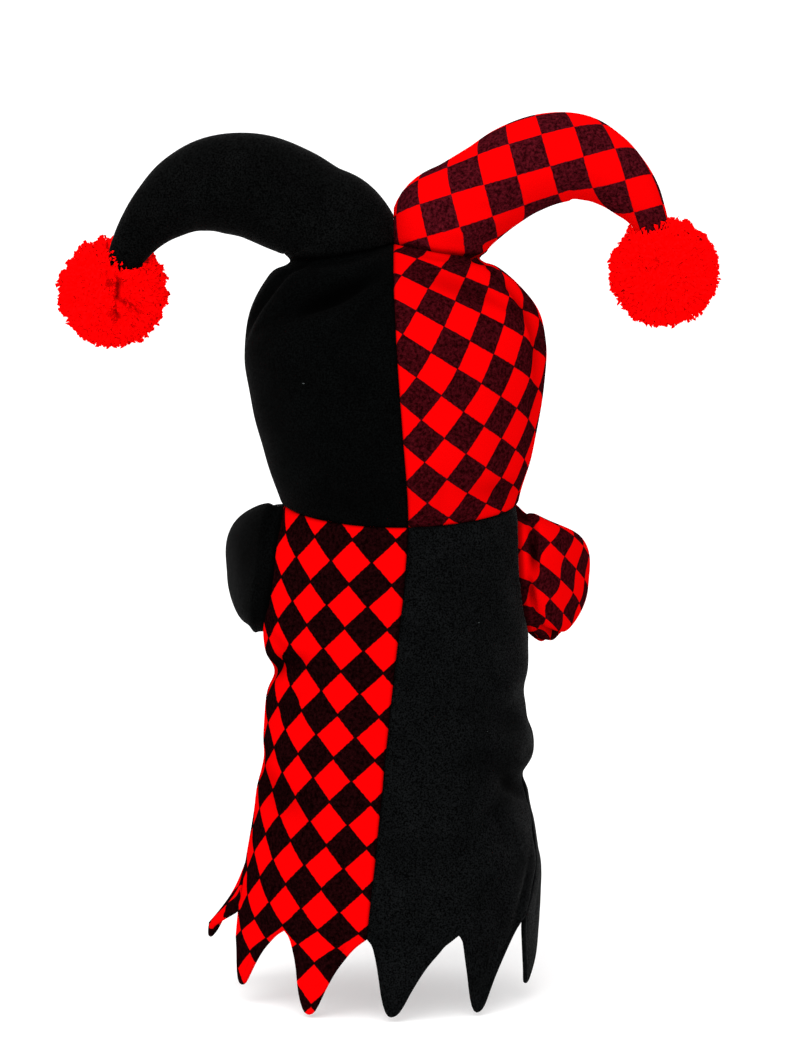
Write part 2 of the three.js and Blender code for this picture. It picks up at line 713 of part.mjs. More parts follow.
// Sleeve surface: "turn" runs round it from the rear, and "along" from the armhole to the cuff.
function sleeveSmooth(side, shape, creases) {
  const cuffCentre = new THREE.Vector3(...shape.cuff);
  const faces = new THREE.Vector3(...shape.faces).normalize();
  const outward = new THREE.Vector3().crossVectors(new THREE.Vector3(0, 0, 1), faces).normalize();
  if (outward.x * side < 0) outward.negate();
  const upward = new THREE.Vector3().crossVectors(faces, outward).normalize();
  if (upward.z < 0) upward.negate();
  return (turn, along) => {
    const start = armholeRim(side, turn, SEAM_GAP);
    start.x -= side * CLOTH * 0.5;
    const end = cuffCentre
      .clone()
      .addScaledVector(outward, shape.halfWidth * Math.cos(turn))
      .addScaledVector(upward, shape.halfHeight * Math.sin(turn));
    const rear = (1 + Math.cos(turn)) / 2;
    const top = Math.max(Math.sin(turn), 0);
    const straight = THREE.MathUtils.lerp(shape.leaves[1], shape.leaves[0], rear);
    const leave = new THREE.Vector3(side * straight, 0, shape.lift * top);
    const arriving = shape.arrives * THREE.MathUtils.lerp(0.55, 1, rear);
    const arrive = faces.clone().multiplyScalar(arriving);
    const [t2, t3] = [along ** 2, along ** 3];
    const at = start.multiplyScalar(2 * t3 - 3 * t2 + 1);
    at.addScaledVector(leave, t3 - 2 * t2 + along);
    at.addScaledVector(end, -2 * t3 + 3 * t2);
    at.addScaledVector(arrive, t3 - t2);
    const middle = new THREE.Vector3(side * MEAN_RADIUS, ARMHOLE.y, ARMHOLE.z).lerp(cuffCentre, along);
    const fromSeam = THREE.MathUtils.smoothstep(along, 0, 0.25);
    const [puffRear, puffTop, puffFront, puffLow] = shape.puff;
    const puff =
      (Math.cos(turn) > 0 ? puffRear : puffFront) * Math.cos(turn) ** 2 +
      (Math.sin(turn) > 0 ? puffTop : puffLow) * Math.sin(turn) ** 2;
    const corner = Math.cos(turn) > 0 ? Math.sin(2 * turn) ** 2 * shape.corners[turn < Math.PI ? 0 : 1] : 0;
    const swell = (puff + corner) * fromSeam * Math.sin(Math.PI * along);
    const dent = creases.reduce((sum, crease) => {
      const past = turn - radians(crease.around) + Math.PI;
      const off = (THREE.MathUtils.euclideanModulo(past, Math.PI * 2) - Math.PI) / radians(crease.spread);
      const offAlong = (along - crease.along) / crease.reach;
      return sum + crease.depth * Math.exp(-(off ** 2) - offAlong ** 2);
    }, 0);
    const outwardHere = at.clone().sub(middle).normalize();
    return at.addScaledVector(outwardHere, swell - dent * fromSeam);
  };
}

function sleeve(side, shape, creaseRows) {
  const surface = sleeveSmooth(side, shape, named(SLEEVE_CREASE_COLUMNS, creaseRows));
  const layer = (inward) =>
    Array.from({ length: SLEEVE_ROWS + 1 }, (_, row) =>
      Array.from({ length: SLEEVE_AROUND }, (_, i) => {
        const turn = (i / SLEEVE_AROUND) * Math.PI * 2;
        const along = row / SLEEVE_ROWS;
        if (!inward) return surface(turn, along);
        const held = THREE.MathUtils.clamp(along, 0.02, 0.98);
        const across = surface(turn + 0.03, held).sub(surface(turn - 0.03, held));
        const down = surface(turn, held + 0.02).sub(surface(turn, held - 0.02));
        const normal = across.cross(down).normalize().multiplyScalar(side);
        return surface(turn, along).addScaledVector(normal, inward);
      }),
    );
  return shellGeometry(layer(0), layer(CLOTH), true);
}

const LEFT = -1;
const RIGHT = 1;

const costume = new THREE.Group();
costume.name = "jester_costume";

const hood = new THREE.Group();
hood.add(part("hood_left", hoodPanel(LEFT), BLACK_FLEECE));
hood.add(part("hood_right", hoodPanel(RIGHT), RED_CHECK));
hood.add(part("horn_left", horn(LEFT, LEFT_HORN), BLACK_FLEECE));
hood.add(part("horn_right", horn(RIGHT, RIGHT_HORN), RED_CHECK));
hood.add(part("pompom_left", pompom(POMPOM_LEFT, LEFT_HORN), RED_YARN));
hood.add(part("pompom_right", pompom(POMPOM_RIGHT, RIGHT_HORN), RED_YARN));
costume.add(hood);

const body = new THREE.Group();
body.add(part("back_left", cutBodyPanel(LEFT, false), RED_CHECK));
body.add(part("back_right", cutBodyPanel(RIGHT, false), BLACK_FLEECE));
body.add(part("front_left", cutBodyPanel(LEFT, true), RED_CHECK));
body.add(part("front_right", cutBodyPanel(RIGHT, true), BLACK_FLEECE));
body.add(part("sleeve_left", sleeve(LEFT, SLEEVES.left, SLEEVE_CREASES.left), BLACK_FLEECE));
body.add(part("sleeve_right", sleeve(RIGHT, SLEEVES.right, SLEEVE_CREASES.right), RED_CHECK));
costume.add(body);

export default costume;
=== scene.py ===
"""Looks of a two-horned jester costume for a small dog, worn upright and seen from its back.

Metres in Blender; the tables below are millimetres, in the same frame as the CAD part.
"""

from __future__ import annotations

import logging
import math
import sys
from dataclasses import dataclass
from enum import Enum

import bmesh
import bpy
import numpy as np
from mathutils import Matrix, Vector

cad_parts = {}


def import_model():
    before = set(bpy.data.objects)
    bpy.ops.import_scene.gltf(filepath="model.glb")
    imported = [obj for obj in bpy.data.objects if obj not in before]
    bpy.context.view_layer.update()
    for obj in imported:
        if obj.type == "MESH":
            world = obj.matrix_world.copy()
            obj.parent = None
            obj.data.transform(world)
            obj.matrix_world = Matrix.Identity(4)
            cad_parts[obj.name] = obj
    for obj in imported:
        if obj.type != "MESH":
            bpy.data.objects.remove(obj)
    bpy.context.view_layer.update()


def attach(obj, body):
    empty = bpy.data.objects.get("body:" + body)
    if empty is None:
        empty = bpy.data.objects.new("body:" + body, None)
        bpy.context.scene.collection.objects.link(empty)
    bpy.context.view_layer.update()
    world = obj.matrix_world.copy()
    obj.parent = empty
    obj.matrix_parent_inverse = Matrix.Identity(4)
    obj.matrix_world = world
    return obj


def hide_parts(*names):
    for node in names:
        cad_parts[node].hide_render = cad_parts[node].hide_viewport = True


LOG = logging.getLogger("costume")
MM = 0.001

CLOTH = 2.0
HALF_GAP = 0.01
SEAM_GAP = 0.02
SEEN_GAP = 0.002  # half of what is left open between two sewn edges
MEAN_RADIUS = 62.0
GAP_TURN = SEEN_GAP / MEAN_RADIUS
NAPE_Z, SHOULDER_Z, THROAT_Z = 0.0, 5.0, -4.0
HEM_VALLEY_Z, BELLY_RISE = -191.0, 20.0
POINT_TURN = 36.0
HEM_SIDE_TURN = 72.0
SWING_FROM_Z, SWING_CURVE = -146.0, 2.4
ABOVE_POINTS = 10.0
HOOD_TOP_Z, CROWN_X, NECK_BLEND, CROWN_FADE = 130.0, -3.0, 0.22, 0.1
HORN_FLAT = 0.92
FLOOR_Z = -230.0
TURN_STEP = 0.01  # to either side, where a form's slope is measured
FAR = 99.0


class Side(Enum):
    """The wearer's own sides, with the sign of X."""

    LEFT = -1
    RIGHT = 1


@dataclass(frozen=True)
class Table:
    """Rows of numbers in named columns, read as smooth curves over the first one."""

    names: tuple[str, ...]
    rows: tuple[tuple[float, ...], ...]

    def curve(self, name: str, at: np.ndarray) -> np.ndarray:
        """The smooth value of a column.

        Args:
            name: The column to read.
            at: Values of the first column.

        Returns:
            The column's values there, from a cubic through the rows.
        """
        grid = np.array(self.rows, dtype=float)
        if grid[0, 0] > grid[-1, 0]:
            grid = grid[::-1]
        return hermite(grid[:, 0], grid[:, self.names.index(name)], at)


def hermite(keys: np.ndarray, values: np.ndarray, at: np.ndarray) -> np.ndarray:
    """A cubic through points.

    Args:
        keys: Where the points are, rising.
        values: Their values.
        at: Where to read the curve; it is held at its ends.

    Returns:
        The curve's values.
    """
    at = np.asarray(at, dtype=float)
    slopes = np.empty(len(keys))
    slopes[1:-1] = (values[2:] - values[:-2]) / (keys[2:] - keys[:-2])
    slopes[0] = (values[1] - values[0]) / (keys[1] - keys[0])
    slopes[-1] = (values[-1] - values[-2]) / (keys[-1] - keys[-2])
    i = np.clip(np.searchsorted(keys, at, side="left") - 1, 0, len(keys) - 2)
    span = keys[i + 1] - keys[i]
    t = np.clip((at - keys[i]) / span, 0, 1)
    t2, t3 = t * t, t * t * t
    return (
        (2 * t3 - 3 * t2 + 1) * values[i]
        + (t3 - 2 * t2 + t) * span * slopes[i]
        + (3 * t2 - 2 * t3) * values[i + 1]
        + (t3 - t2) * span * slopes[i + 1]
    )


def smoothstep(at: np.ndarray, low: float, high: float) -> np.ndarray:
    """A soft step from 0 at low to 1 at high."""
    t = np.clip((np.asarray(at, dtype=float) - low) / (high - low), 0, 1)
    return t * t * (3 - 2 * t)


def lerp(a: np.ndarray | float, b: np.ndarray | float, share: np.ndarray | float) -> np.ndarray:
    """The value a share of the way from a to b."""
    return a + (b - a) * share


BODY_RINGS = Table(
    ("z", "left", "right", "back", "front", "seam"),
    (
        (10, -53, 53.5, -45.5, 45, 4),
        (4, -55.5, 55.5, -47, 46.5, 4),
        (-3, -58.5, 57.5, -49, 48.5, 3.8),
        (-14, -61.5, 59, -51.5, 51, 3),
        (-28, -63.5, 60, -53.5, 53, 2),
        (-45, -64.8, 60.6, -55, 55, 0),
        (-62, -64, 60.6, -55.5, 56.5, -2),
        (-74, -60.8, 61.2, -55.5, 57.5, -3.4),
        (-87, -63.4, 59, -56, 58.5, -4.8),
        (-105, -64.8, 63, -57, 60, -6.6),
        (-114, -65.8, 63.4, -57, 60.5, -7.6),
        (-124, -66.6, 58, -57.5, 61, -8.4),
        (-133, -67.8, 61, -58.5, 61.5, -9.4),
        (-147, -70, 64, -60, 62, -10.8),
        (-165, -72.6, 67, -61.5, 62.5, -12.8),
        (-192, -74.2, 66.8, -62, 63.5, -15.6),
        (-232, -76.5, 64, -61, 65, -19),
    ),
)
SIDE_SEAM = Table(
    ("z", "turn"), ((10, 94), (-58, 94), (-120, 92), (-165, 82), (-192, 72), (-232, 72))
)
HOOD_RINGS = Table(
    ("rise", "z", "left", "right", "back", "front", "seam"),
    (
        (0, 0, -55.5, 55.5, -47, 46.5, 4),
        (0.1, 13, -59.2, 58.4, -52.5, 49.5, 3.5),
        (0.2, 28, -63.6, 61.8, -56, 51.5, 2.5),
        (0.33, 48, -68.6, 65.4, -58.5, 52, 1),
        (0.46, 68, -72.2, 68.4, -59, 51, -0.5),
        (0.56, 83, -72.6, 68.2, -57, 48, -1.5),
        (0.66, 97, -69.8, 64.6, -52, 42, -2.2),
        (0.76, 109.5, -63.6, 54.6, -44.5, 34, -2.8),
        (0.85, 119, -55.5, 42.4, -35, 25, -3),
        (0.93, 126, -38, 27, -22, 13, -3),
        (1, 130, -3, -3, -4, -4, -3),
    ),
)
# The points round the hem: start in degrees of turn, tip across it, length, swing of the tip and
# how pointed it is, less being blunter
HEM_POINTS = (
    (-180, 0.36, 28, 0, 1),
    (-144, 0.36, 29, 0, 1),
    (-108, 0.45, 24, 11.5, 0.8),
    (-72, 0.32, 33, 2, 1),
    (-36, 0.41, 38, 0, 1),
    (0, 0.34, 37, 0, 1),
    (36, 0.34, 39, 0, 1),
    (72, 0.36, 37, -0.9, 0.6),
    (108, 0.36, 29, 0, 1),
    (144, 0.36, 28, 0, 1),
)
# One point's edge: way from its tip towards either valley (negative before it), share of its drop
BACK_POINT = (
    (-1, 0), (-0.8, 0.1), (-0.58, 0.4), (-0.38, 0.76), (-0.2, 0.95), (0, 1),
    (0.13, 0.93), (0.31, 0.64), (0.52, 0.37), (0.78, 0.13), (1, 0),
)
FRONT_POINT = ((-1, 0), (-0.6, 0.38), (-0.27, 0.9), (0, 1), (0.2, 0.82), (0.55, 0.34), (1, 0))

HORNS = {
    Side.LEFT: (
        (-27, 0, 110, 25.6), (-28, 0, 125, 26.6), (-28.6, 0, 131, 27.6), (-31.8, 0, 137, 25.1),
        (-39.8, 0, 141.6, 23.9), (-52, 0, 148, 24.8), (-68, 0, 154.2, 24.6), (-85.5, 0, 155, 22.8),
        (-100, 0, 150.6, 19.2), (-111.8, 0, 142.4, 15), (-120, 0, 134, 11.8), (-126, -1, 125, 9.4),
        (-128.8, -1, 118, 8),
    ),
    Side.RIGHT: (
        (16.8, 0, 110, 21.8), (17.2, 0, 125.5, 22.8), (20.8, 0, 137.8, 24.2),
        (31.6, 0, 146.6, 21.9), (43.8, 0, 154.8, 21.2), (55, 0, 161.8, 21.6),
        (68.4, 0, 166.8, 21.4), (82.2, 0, 167.6, 20.3), (93.7, 0, 163.2, 17.7),
        (103, 0, 156.4, 14.8), (110.2, 0, 148.6, 12.2), (115, 0, 141.4, 9.4), (119.6, 1, 132, 7),
    ),
}
POMPOMS = {Side.LEFT: (-134.8, 10.0, 103.8), Side.RIGHT: (123.4, 5.0, 113.8)}
POMPOM_RADIUS = 25.4
HORN_BASE = 8  # how many of a horn's rows are near enough to the hood to dent it
# Soft valleys of the hood beside the horns: depth and half width
HORN_VALLEYS = {Side.LEFT: (2.2, 5.0), Side.RIGHT: (1.6, 3.6)}

# Where the yarn parts: both ends as ways from the middle, half width, how far it parts
CLEFTS = {
    Side.LEFT: (
        ((4.6, -24, 7.5), (4.0, -25, -1.0), 1.5, 1.0),
        ((2.8, -24, -8.5), (4.6, -21, -15.0), 1.2, 0.9),
        ((6.5, -24, -2.5), (15.5, -19, -8.0), 1.0, 0.55),
        ((-2.0, -23, 11.0), (0.2, -24, 5.0), 1.1, 0.5),
        ((3.0, -24, -2.0), (2.0, -24, -8.0), 0.9, 0.45),
        ((-6, 21, 12), (-9, 23, 3), 1.2, 0.7),
        ((10, 22, -4), (7, 19, -13), 1.1, 0.6),
        ((-25, 2, 5), (-23, 4, -8), 1.1, 0.6),
    ),
    Side.RIGHT: (
        ((-5, -23, 9.5), (-7, -23, 4.0), 0.9, 0.4),
        ((8, 22, 8), (6, 24, -2), 1.2, 0.7),
        ((-9, 22, -6), (-6, 20, -13), 1.1, 0.6),
        ((24, -2, 3), (22, 3, -10), 1.1, 0.6),
    ),
}

# Soft troughs: turn in degrees, height, half length, slope in degrees, depth, half width
BODY_CREASES = (
    (-70, -70.5, 27, 14, 3.2, 4.6),
    (66, -122, 30, -26, 3.6, 6),
    (62, -92, 26, -12, 2, 7),
    (-56, -128, 26, -18, 1.6, 8),
    (128, -70, 40, 10, 3.5, 8),
    (-132, -104, 42, -12, 3.5, 8),
    (150, -140, 38, 16, 2.5, 9),
)
BODY_SMALL_CREASES = (
    (-52, -84, 16, 28, 0.9, 3.4),
    (-56, -60, 16, -24, 1.0, 3.2),
    (52, -134, 20, 30, 1.0, 3.8),
    (78, -112, 16, 4, 1.1, 3.4),
    (40, -66, 24, -14, 0.5, 6.0),
    (-30, -150, 26, -8, 0.45, 7.0),
    (32, -200, 14, 108, 1.0, 1.8),
    (-9, -198, 13, 108, 0.9, 1.7),
    (69, -176, 16, 69, 1.3, 2.8),
    (-35.5, -212, 7, 84, 0.6, 1.1),
    (24, -150, 24, 12, 0.5, 6.5),
    (-70, -112, 15, 8, 0.8, 3.8),
    (110, -100, 26, -10, 1.1, 4.6),
    (-112, -70, 24, 14, 1.2, 4.4),
    (168, -60, 30, -6, 1.0, 6.0),
    (-160, -128, 28, 10, 1.3, 5.2),
    (96, -168, 24, 64, 0.9, 5.0),
    (-114, -160, 20, 70, 0.9, 5.0),
)
HOOD_CREASES = (
    (-27, 108, 22, 25, 7.5, 4.4),
    (-8, 104, 13, 52, 1.6, 3.2),
    (-72, 103, 20, 56, 3.0, 4.6),
    (68, 94, 34, 90, 2.6, 5.5),
    (30, 112, 20, -18, 2.4, 6),
    (-22, 12, 24, 4, 1.6, 6),
    (48, 14, 22, -8, 1.6, 6),
)
HOOD_SMALL_CREASES = (
    (-52, 100, 20, 36, 1.1, 3.2),
    (-28, 104, 16, 12, 0.9, 3.0),
    (-14, 96, 18, 70, 0.5, 4.0),
    (52, 102, 18, -34, 1.0, 3.2),
    (16, 16, 14, 84, 0.4, 3.0),
    (-36, 18, 12, 76, 0.5, 3.2),
    (92, 70, 24, 84, 1.0, 5.0),
    (-96, 66, 26, 96, 1.1, 5.0),
    (130, 106, 22, -20, 1.2, 5.0),
    (-128, 104, 24, 16, 1.3, 5.0),
)
# Horn creases: way along it, turn round it in degrees from its top, reach, slope, depth, half width
HORN_CREASES = {
    Side.LEFT: (
        (46, 96, 15, 38, 1.2, 3.6),
        (60, 120, 14, 62, 1.0, 3.4),
        (84, -100, 18, 70, 1.2, 4.5),
        (52, -70, 16, 40, 1.1, 4.2),
    ),
    Side.RIGHT: (
        (44, 98, 14, 34, 0.9, 3.6),
        (92, 120, 13, 74, 0.9, 3.6),
        (58, -96, 18, 55, 1.2, 4.5),
        (100, -70, 15, 70, 0.9, 4.0),
    ),
}
# Sleeve creases: place round it in degrees, share of its length, depth, half widths round and along
SLEEVE_CREASES = {
    Side.LEFT: ((18, 0.3, 2.2, 22, 0.16), (-62, 0.4, 2.4, 20, 0.2)),
    Side.RIGHT: (
        (20, 0.15, 5.5, 20, 0.04), (-22, 0.1, 4.5, 15, 0.035), (-58, 0.42, 4.5, 8, 0.26),
        (62, 0.07, 4, 14, 0.05), (-82, 0.6, 3, 9, 0.22), (120, 0.3, 2.4, 18, 0.12),
    ),
}


@dataclass(frozen=True)
class SleeveShape:
    """Sizes of one sleeve, in millimetres."""

    cuff: tuple[float, float, float]
    faces: tuple[float, float, float]
    half_width: float
    half_height: float
    leaves: tuple[float, float]
    lift: float
    puff: tuple[float, float, float, float]
    corners: tuple[float, float]
    sag: float
    arrives: float = 42.0


SLEEVES = {
    Side.LEFT: SleeveShape(
        (-65, 57, -37), (-0.24, 0.94, -0.24), 18, 21, (44, 26), -10, (5, 4, 1.5, 2), (7.5, 1.5), 1.2
    ),
    Side.RIGHT: SleeveShape(
        (72, 52, -42), (0.36, 0.9, -0.26), 19.5, 22, (54, 30), -36, (6, 0, 1.5, 3), (10, 0.5), 3.0
    ),
}
ARMHOLE_Y, ARMHOLE_Z, ARMHOLE_DEPTH, ARMHOLE_HEIGHT = 6.0, -24.0, 24.0, 33.0
EDGE_DEPTH, EDGE_HEIGHT = ARMHOLE_DEPTH + SEAM_GAP, ARMHOLE_HEIGHT + SEAM_GAP
UNDER_SEAM = math.radians(225)  # where a sleeve's own seam runs, underneath at the front


@dataclass(frozen=True)
class Ring:
    """One level of a form: its middle and half sizes, and the turn of its centre back seam."""

    middle: np.ndarray
    half_width: np.ndarray
    depth_middle: np.ndarray
    half_depth: np.ndarray
    seam_turn: np.ndarray

    @classmethod
    def read(cls, table: Table, at: np.ndarray) -> Ring:
        """The ring of a form at a height or rise."""
        left, right, back, front, seam = (
            table.curve(n, at) for n in ("left", "right", "back", "front", "seam")
        )
        half = np.maximum((right - left) / 2, 0)
        middle = (left + right) / 2
        safe = np.maximum(half, 1)
        turn = np.where(half > 1, np.arcsin(np.clip((seam - middle) / safe, -1, 1)), 0)
        return cls(middle, half, (back + front) / 2, np.maximum((front - back) / 2, 0), turn)

    def point(self, turn: np.ndarray, z: np.ndarray) -> np.ndarray:
        """Points of the ring at turns in radians and heights."""
        x = self.middle + self.half_width * np.sin(turn)
        y = self.depth_middle - self.half_depth * np.cos(turn)
        return np.stack(np.broadcast_arrays(x, y, z), axis=-1)


def neck_z(turn: np.ndarray) -> np.ndarray:
    """Height of the neck seam at a turn from the nape, in radians."""
    front = (1 - np.cos(turn)) / 2
    return lerp(lerp(NAPE_Z, THROAT_Z, front), SHOULDER_Z, np.sin(turn) ** 2)


def trough(
    creases: tuple[tuple[float, ...], ...], turn: np.ndarray, z: np.ndarray
) -> np.ndarray:
    """Depth of soft troughs.

    Args:
        creases: Rows of turn, height, half length, slope, depth and half width.
        turn: Turns in radians.
        z: Heights.

    Returns:
        How far the cloth lies inside its smooth form.
    """
    total = np.zeros(np.broadcast(turn, z).shape)
    for at, height, run, slope, depth, width in creases:
        across = (turn - math.radians(at)) * MEAN_RADIUS
        up = z - height
        angle = math.radians(slope)
        along = across * math.cos(angle) + up * math.sin(angle)
        off = -across * math.sin(angle) + up * math.cos(angle)
        total += depth * np.exp(-((along / run) ** 2) - (off / width) ** 2)
    return total


def unit(ways: np.ndarray) -> np.ndarray:
    """Directions brought to a length of one."""
    return ways / np.maximum(np.linalg.norm(ways, axis=-1, keepdims=True), 1e-9)


def run_along(points: np.ndarray, axis: int) -> np.ndarray:
    """Lengths along a grid of points.

    Args:
        points: Rows by columns by their coordinates.
        axis: 0 runs down the rows, 1 across the columns.

    Returns:
        The length from the first point to each.
    """
    run = np.cumsum(np.linalg.norm(np.diff(points, axis=axis), axis=-1), axis=axis)
    return np.concatenate([np.zeros_like(np.take(run, [0], axis=axis)), run], axis=axis)


class BodyForm:
    """Smooth surface of the body, twisted a little on the wearer."""

    HEIGHT_STEP, NECK_FADE = 0.5, 8

    @staticmethod
    def smooth(turn: np.ndarray, z: np.ndarray) -> np.ndarray:
        """Surface points at turns from the centre back seam and heights."""
        ring = Ring.read(BODY_RINGS, z)
        return ring.point(turn + ring.seam_turn, z)

    @classmethod
    def moved(cls, turn: np.ndarray, z: np.ndarray, out: np.ndarray) -> np.ndarray:
        """Surface points moved outward."""
        across = cls.smooth(turn + TURN_STEP, z) - cls.smooth(turn - TURN_STEP, z)
        up = cls.smooth(turn, z + cls.HEIGHT_STEP) - cls.smooth(turn, z - cls.HEIGHT_STEP)
        normal = np.cross(across, up)
        # level at the neck, so that both edges of its seam stay together
        seam_turn = float(Ring.read(BODY_RINGS, np.array(0.0)).seam_turn)
        normal[..., 2] *= smoothstep(neck_z(turn + seam_turn) - z, 0, cls.NECK_FADE)
        return cls.smooth(turn, z) + unit(normal) * np.asarray(out)[..., None]


class HoodForm:
    """Smooth surface of the hood."""

    RISE_STEP, NECK_FADE = 0.003, 0.06
    LAST_SLOPE = 0.985  # the rise above which its slope is no longer measured
    APEX = 0.9999

    @staticmethod
    def level(rise: np.ndarray) -> np.ndarray:
        """Height of a rise, without the neck's curve."""
        return HOOD_RINGS.curve("z", rise)

    @classmethod
    def smooth(cls, turn: np.ndarray, rise: np.ndarray) -> np.ndarray:
        """Surface points at turns from the centre back seam and rises."""
        ring = Ring.read(HOOD_RINGS, rise)
        whole = turn + ring.seam_turn
        neck = 1 - smoothstep(rise, 0, NECK_BLEND)
        return ring.point(whole, cls.level(rise) + neck * (neck_z(whole) + SEEN_GAP))

    @classmethod
    def moved(cls, turn: np.ndarray, rise: np.ndarray, out: np.ndarray) -> np.ndarray:
        """Surface points moved outward."""
        held = np.clip(rise, cls.RISE_STEP, cls.LAST_SLOPE)
        across = cls.smooth(turn + TURN_STEP, held) - cls.smooth(turn - TURN_STEP, held)
        up = cls.smooth(turn, held + cls.RISE_STEP) - cls.smooth(turn, held - cls.RISE_STEP)
        normal = np.cross(across, up)
        normal[..., 2] *= smoothstep(rise, 0, cls.NECK_FADE)
        top = np.broadcast_to(np.asarray(rise)[..., None] >= cls.APEX, normal.shape)
        normal = np.where(top, np.array([0.0, 0.0, 1.0]), unit(normal))
        return cls.smooth(turn, rise) + normal * np.asarray(out)[..., None]


def horn_distance(points: np.ndarray, side: Side) -> np.ndarray:
    """Distance of points from a horn's surface, negative within it."""
    rows = np.array(HORNS[side], dtype=float)
    best = np.full(points.shape[:-1], FAR)
    for a, b in zip(rows[: HORN_BASE - 1], rows[1:HORN_BASE]):
        way = b[:3] - a[:3]
        share = np.clip(((points - a[:3]) @ way) / (way @ way), 0, 1)
        nearest = a[:3] + share[..., None] * way
        off = np.linalg.norm(points - nearest, axis=-1) - lerp(a[3], b[3], share)
        best = np.minimum(best, off)
    return best


def hood_dent(turn: np.ndarray, rise: np.ndarray) -> np.ndarray:
    """How deep the hood's cloth lies inside its smooth form, in creases and along the horns."""
    dent = trough(HOOD_CREASES + HOOD_SMALL_CREASES, turn, HoodForm.level(rise))
    points = HoodForm.smooth(turn, rise)
    for side, (depth, width) in HORN_VALLEYS.items():
        valley = np.exp(-((horn_distance(points, side) / width) ** 2))
        sided = smoothstep((points[..., 0] - CROWN_X) * side.value, -6, 4)
        dent = dent + depth * valley * sided
    return dent * np.minimum(1, (1 - rise) / CROWN_FADE)


# Node trees and materials


class Graph:
    """A node tree that is put together by calls, for shaders and geometry alike."""

    def __init__(self, tree: bpy.types.NodeTree) -> None:
        """Starts from a tree, which may hold nodes already."""
        self.tree = tree

    def node(
        self, kind: str, inputs: dict[str | int, object] | None = None, **settings: object
    ) -> bpy.types.Node:
        """A new node.

        Args:
            kind: Its type.
            inputs: Its inputs by name or number, as feed takes them.
            settings: Its other settings.

        Returns:
            The node.
        """
        node = self.tree.nodes.new(kind)
        for name, value in settings.items():
            setattr(node, name, value)
        self.feed(node, inputs or {})
        return node

    def feed(self, node: bpy.types.Node, inputs: dict[str | int, object]) -> None:
        """Sets a node's inputs.

        Args:
            node: The node.
            inputs: By name or number a value, a socket that is linked or a list of sockets.
        """
        for name, given in inputs.items():
            for value in given if isinstance(given, list) else [given]:
                if isinstance(value, bpy.types.NodeSocket):
                    self.tree.links.new(value, node.inputs[name])
                else:
                    node.inputs[name].default_value = value

    def math(self, operation: str, *values: object) -> bpy.types.NodeSocket:
        """The result of a math node over sockets and numbers."""
        return self.node("ShaderNodeMath", dict(enumerate(values)), operation=operation).outputs[0]

    def scaled(self, vector: object, factor: object) -> bpy.types.NodeSocket:
        """A vector or colour times a factor."""
        inputs = {0: vector, "Scale": factor}
        return self.node("ShaderNodeVectorMath", inputs, operation="SCALE").outputs[0]

    def ranged(
        self,
        value: bpy.types.NodeSocket,
        low: float,
        high: float,
        to: tuple[float, float] = (0.0, 1.0),
        smooth: bool = False,
    ) -> bpy.types.NodeSocket:
        """A value brought from one range to another.

        Args:
            value: The value.
            low: Where its range begins.
            high: Where its range ends.
            to: The new range.
            smooth: Whether it eases in and out.

        Returns:
            The new value.
        """
        inputs = {"Value": value, "From Min": low, "From Max": high}
        inputs.update({"To Min": to[0], "To Max": to[1]})
        kind = "SMOOTHSTEP" if smooth else "LINEAR"
        return self.node("ShaderNodeMapRange", inputs, interpolation_type=kind).outputs["Result"]

    def mixed(self, share: object, first: object, second: object) -> bpy.types.NodeSocket:
        """A share of the way from one colour to another."""
        inputs = {0: share, 6: first, 7: second}
        return self.node("ShaderNodeMix", inputs, data_type="RGBA").outputs[2]


@dataclass(frozen=True)
class Nap:
    """How brushed knit takes the light."""

    roughness: float = 0.95
    specular: float = 0.015
    sheen: float = 0.022
    sheen_roughness: float = 0.35
    grain: float = 2600.0
    bump: float = 0.35


class Pile(Graph):
    """A new material with the fine relief of brushed knit, whose colour is still to be set."""

    RELIEF = 0.0004

    def __init__(self, name: str, nap: Nap) -> None:
        """Starts the material.

        Args:
            name: Its name.
            nap: How the cloth takes the light.
        """
        self.material = bpy.data.materials.new(name)
        self.material.use_nodes = True
        super().__init__(self.material.node_tree)
        self.shader = self.tree.nodes["Principled BSDF"]
        self.place = self.node("ShaderNodeTexCoord").outputs["Object"]
        relief = self.node("ShaderNodeBump", {
            "Strength": nap.bump, "Distance": self.RELIEF, "Height": self.cloud(nap.grain, 2.0)
        })
        self.finish({
            "Roughness": nap.roughness, "Specular IOR Level": nap.specular,
            "Sheen Weight": nap.sheen, "Sheen Roughness": nap.sheen_roughness,
            "Normal": relief.outputs["Normal"],
        })

    def cloud(self, scale: float, detail: float, roughness: float = 0.5) -> bpy.types.NodeSocket:
        """Noise over the piece."""
        inputs = {"Vector": self.place, "Scale": scale, "Detail": detail, "Roughness": roughness}
        return self.node("ShaderNodeTexNoise", inputs).outputs["Fac"]

    def out_of_painted_shade(self, strength: float) -> bpy.types.NodeSocket:
        """A factor that falls from 1 where the piece's painted shade attribute rises, so that the
        piece darkens as painted shade.
        """
        fold = self.node("ShaderNodeAttribute", attribute_name="fold").outputs["Fac"]
        return self.math("MULTIPLY_ADD", fold, -strength, 1.0)

    def finish(self, inputs: dict[str | int, object]) -> bpy.types.Material:
        """The material, with these inputs of its shader set."""
        self.feed(self.shader, inputs)
        return self.material


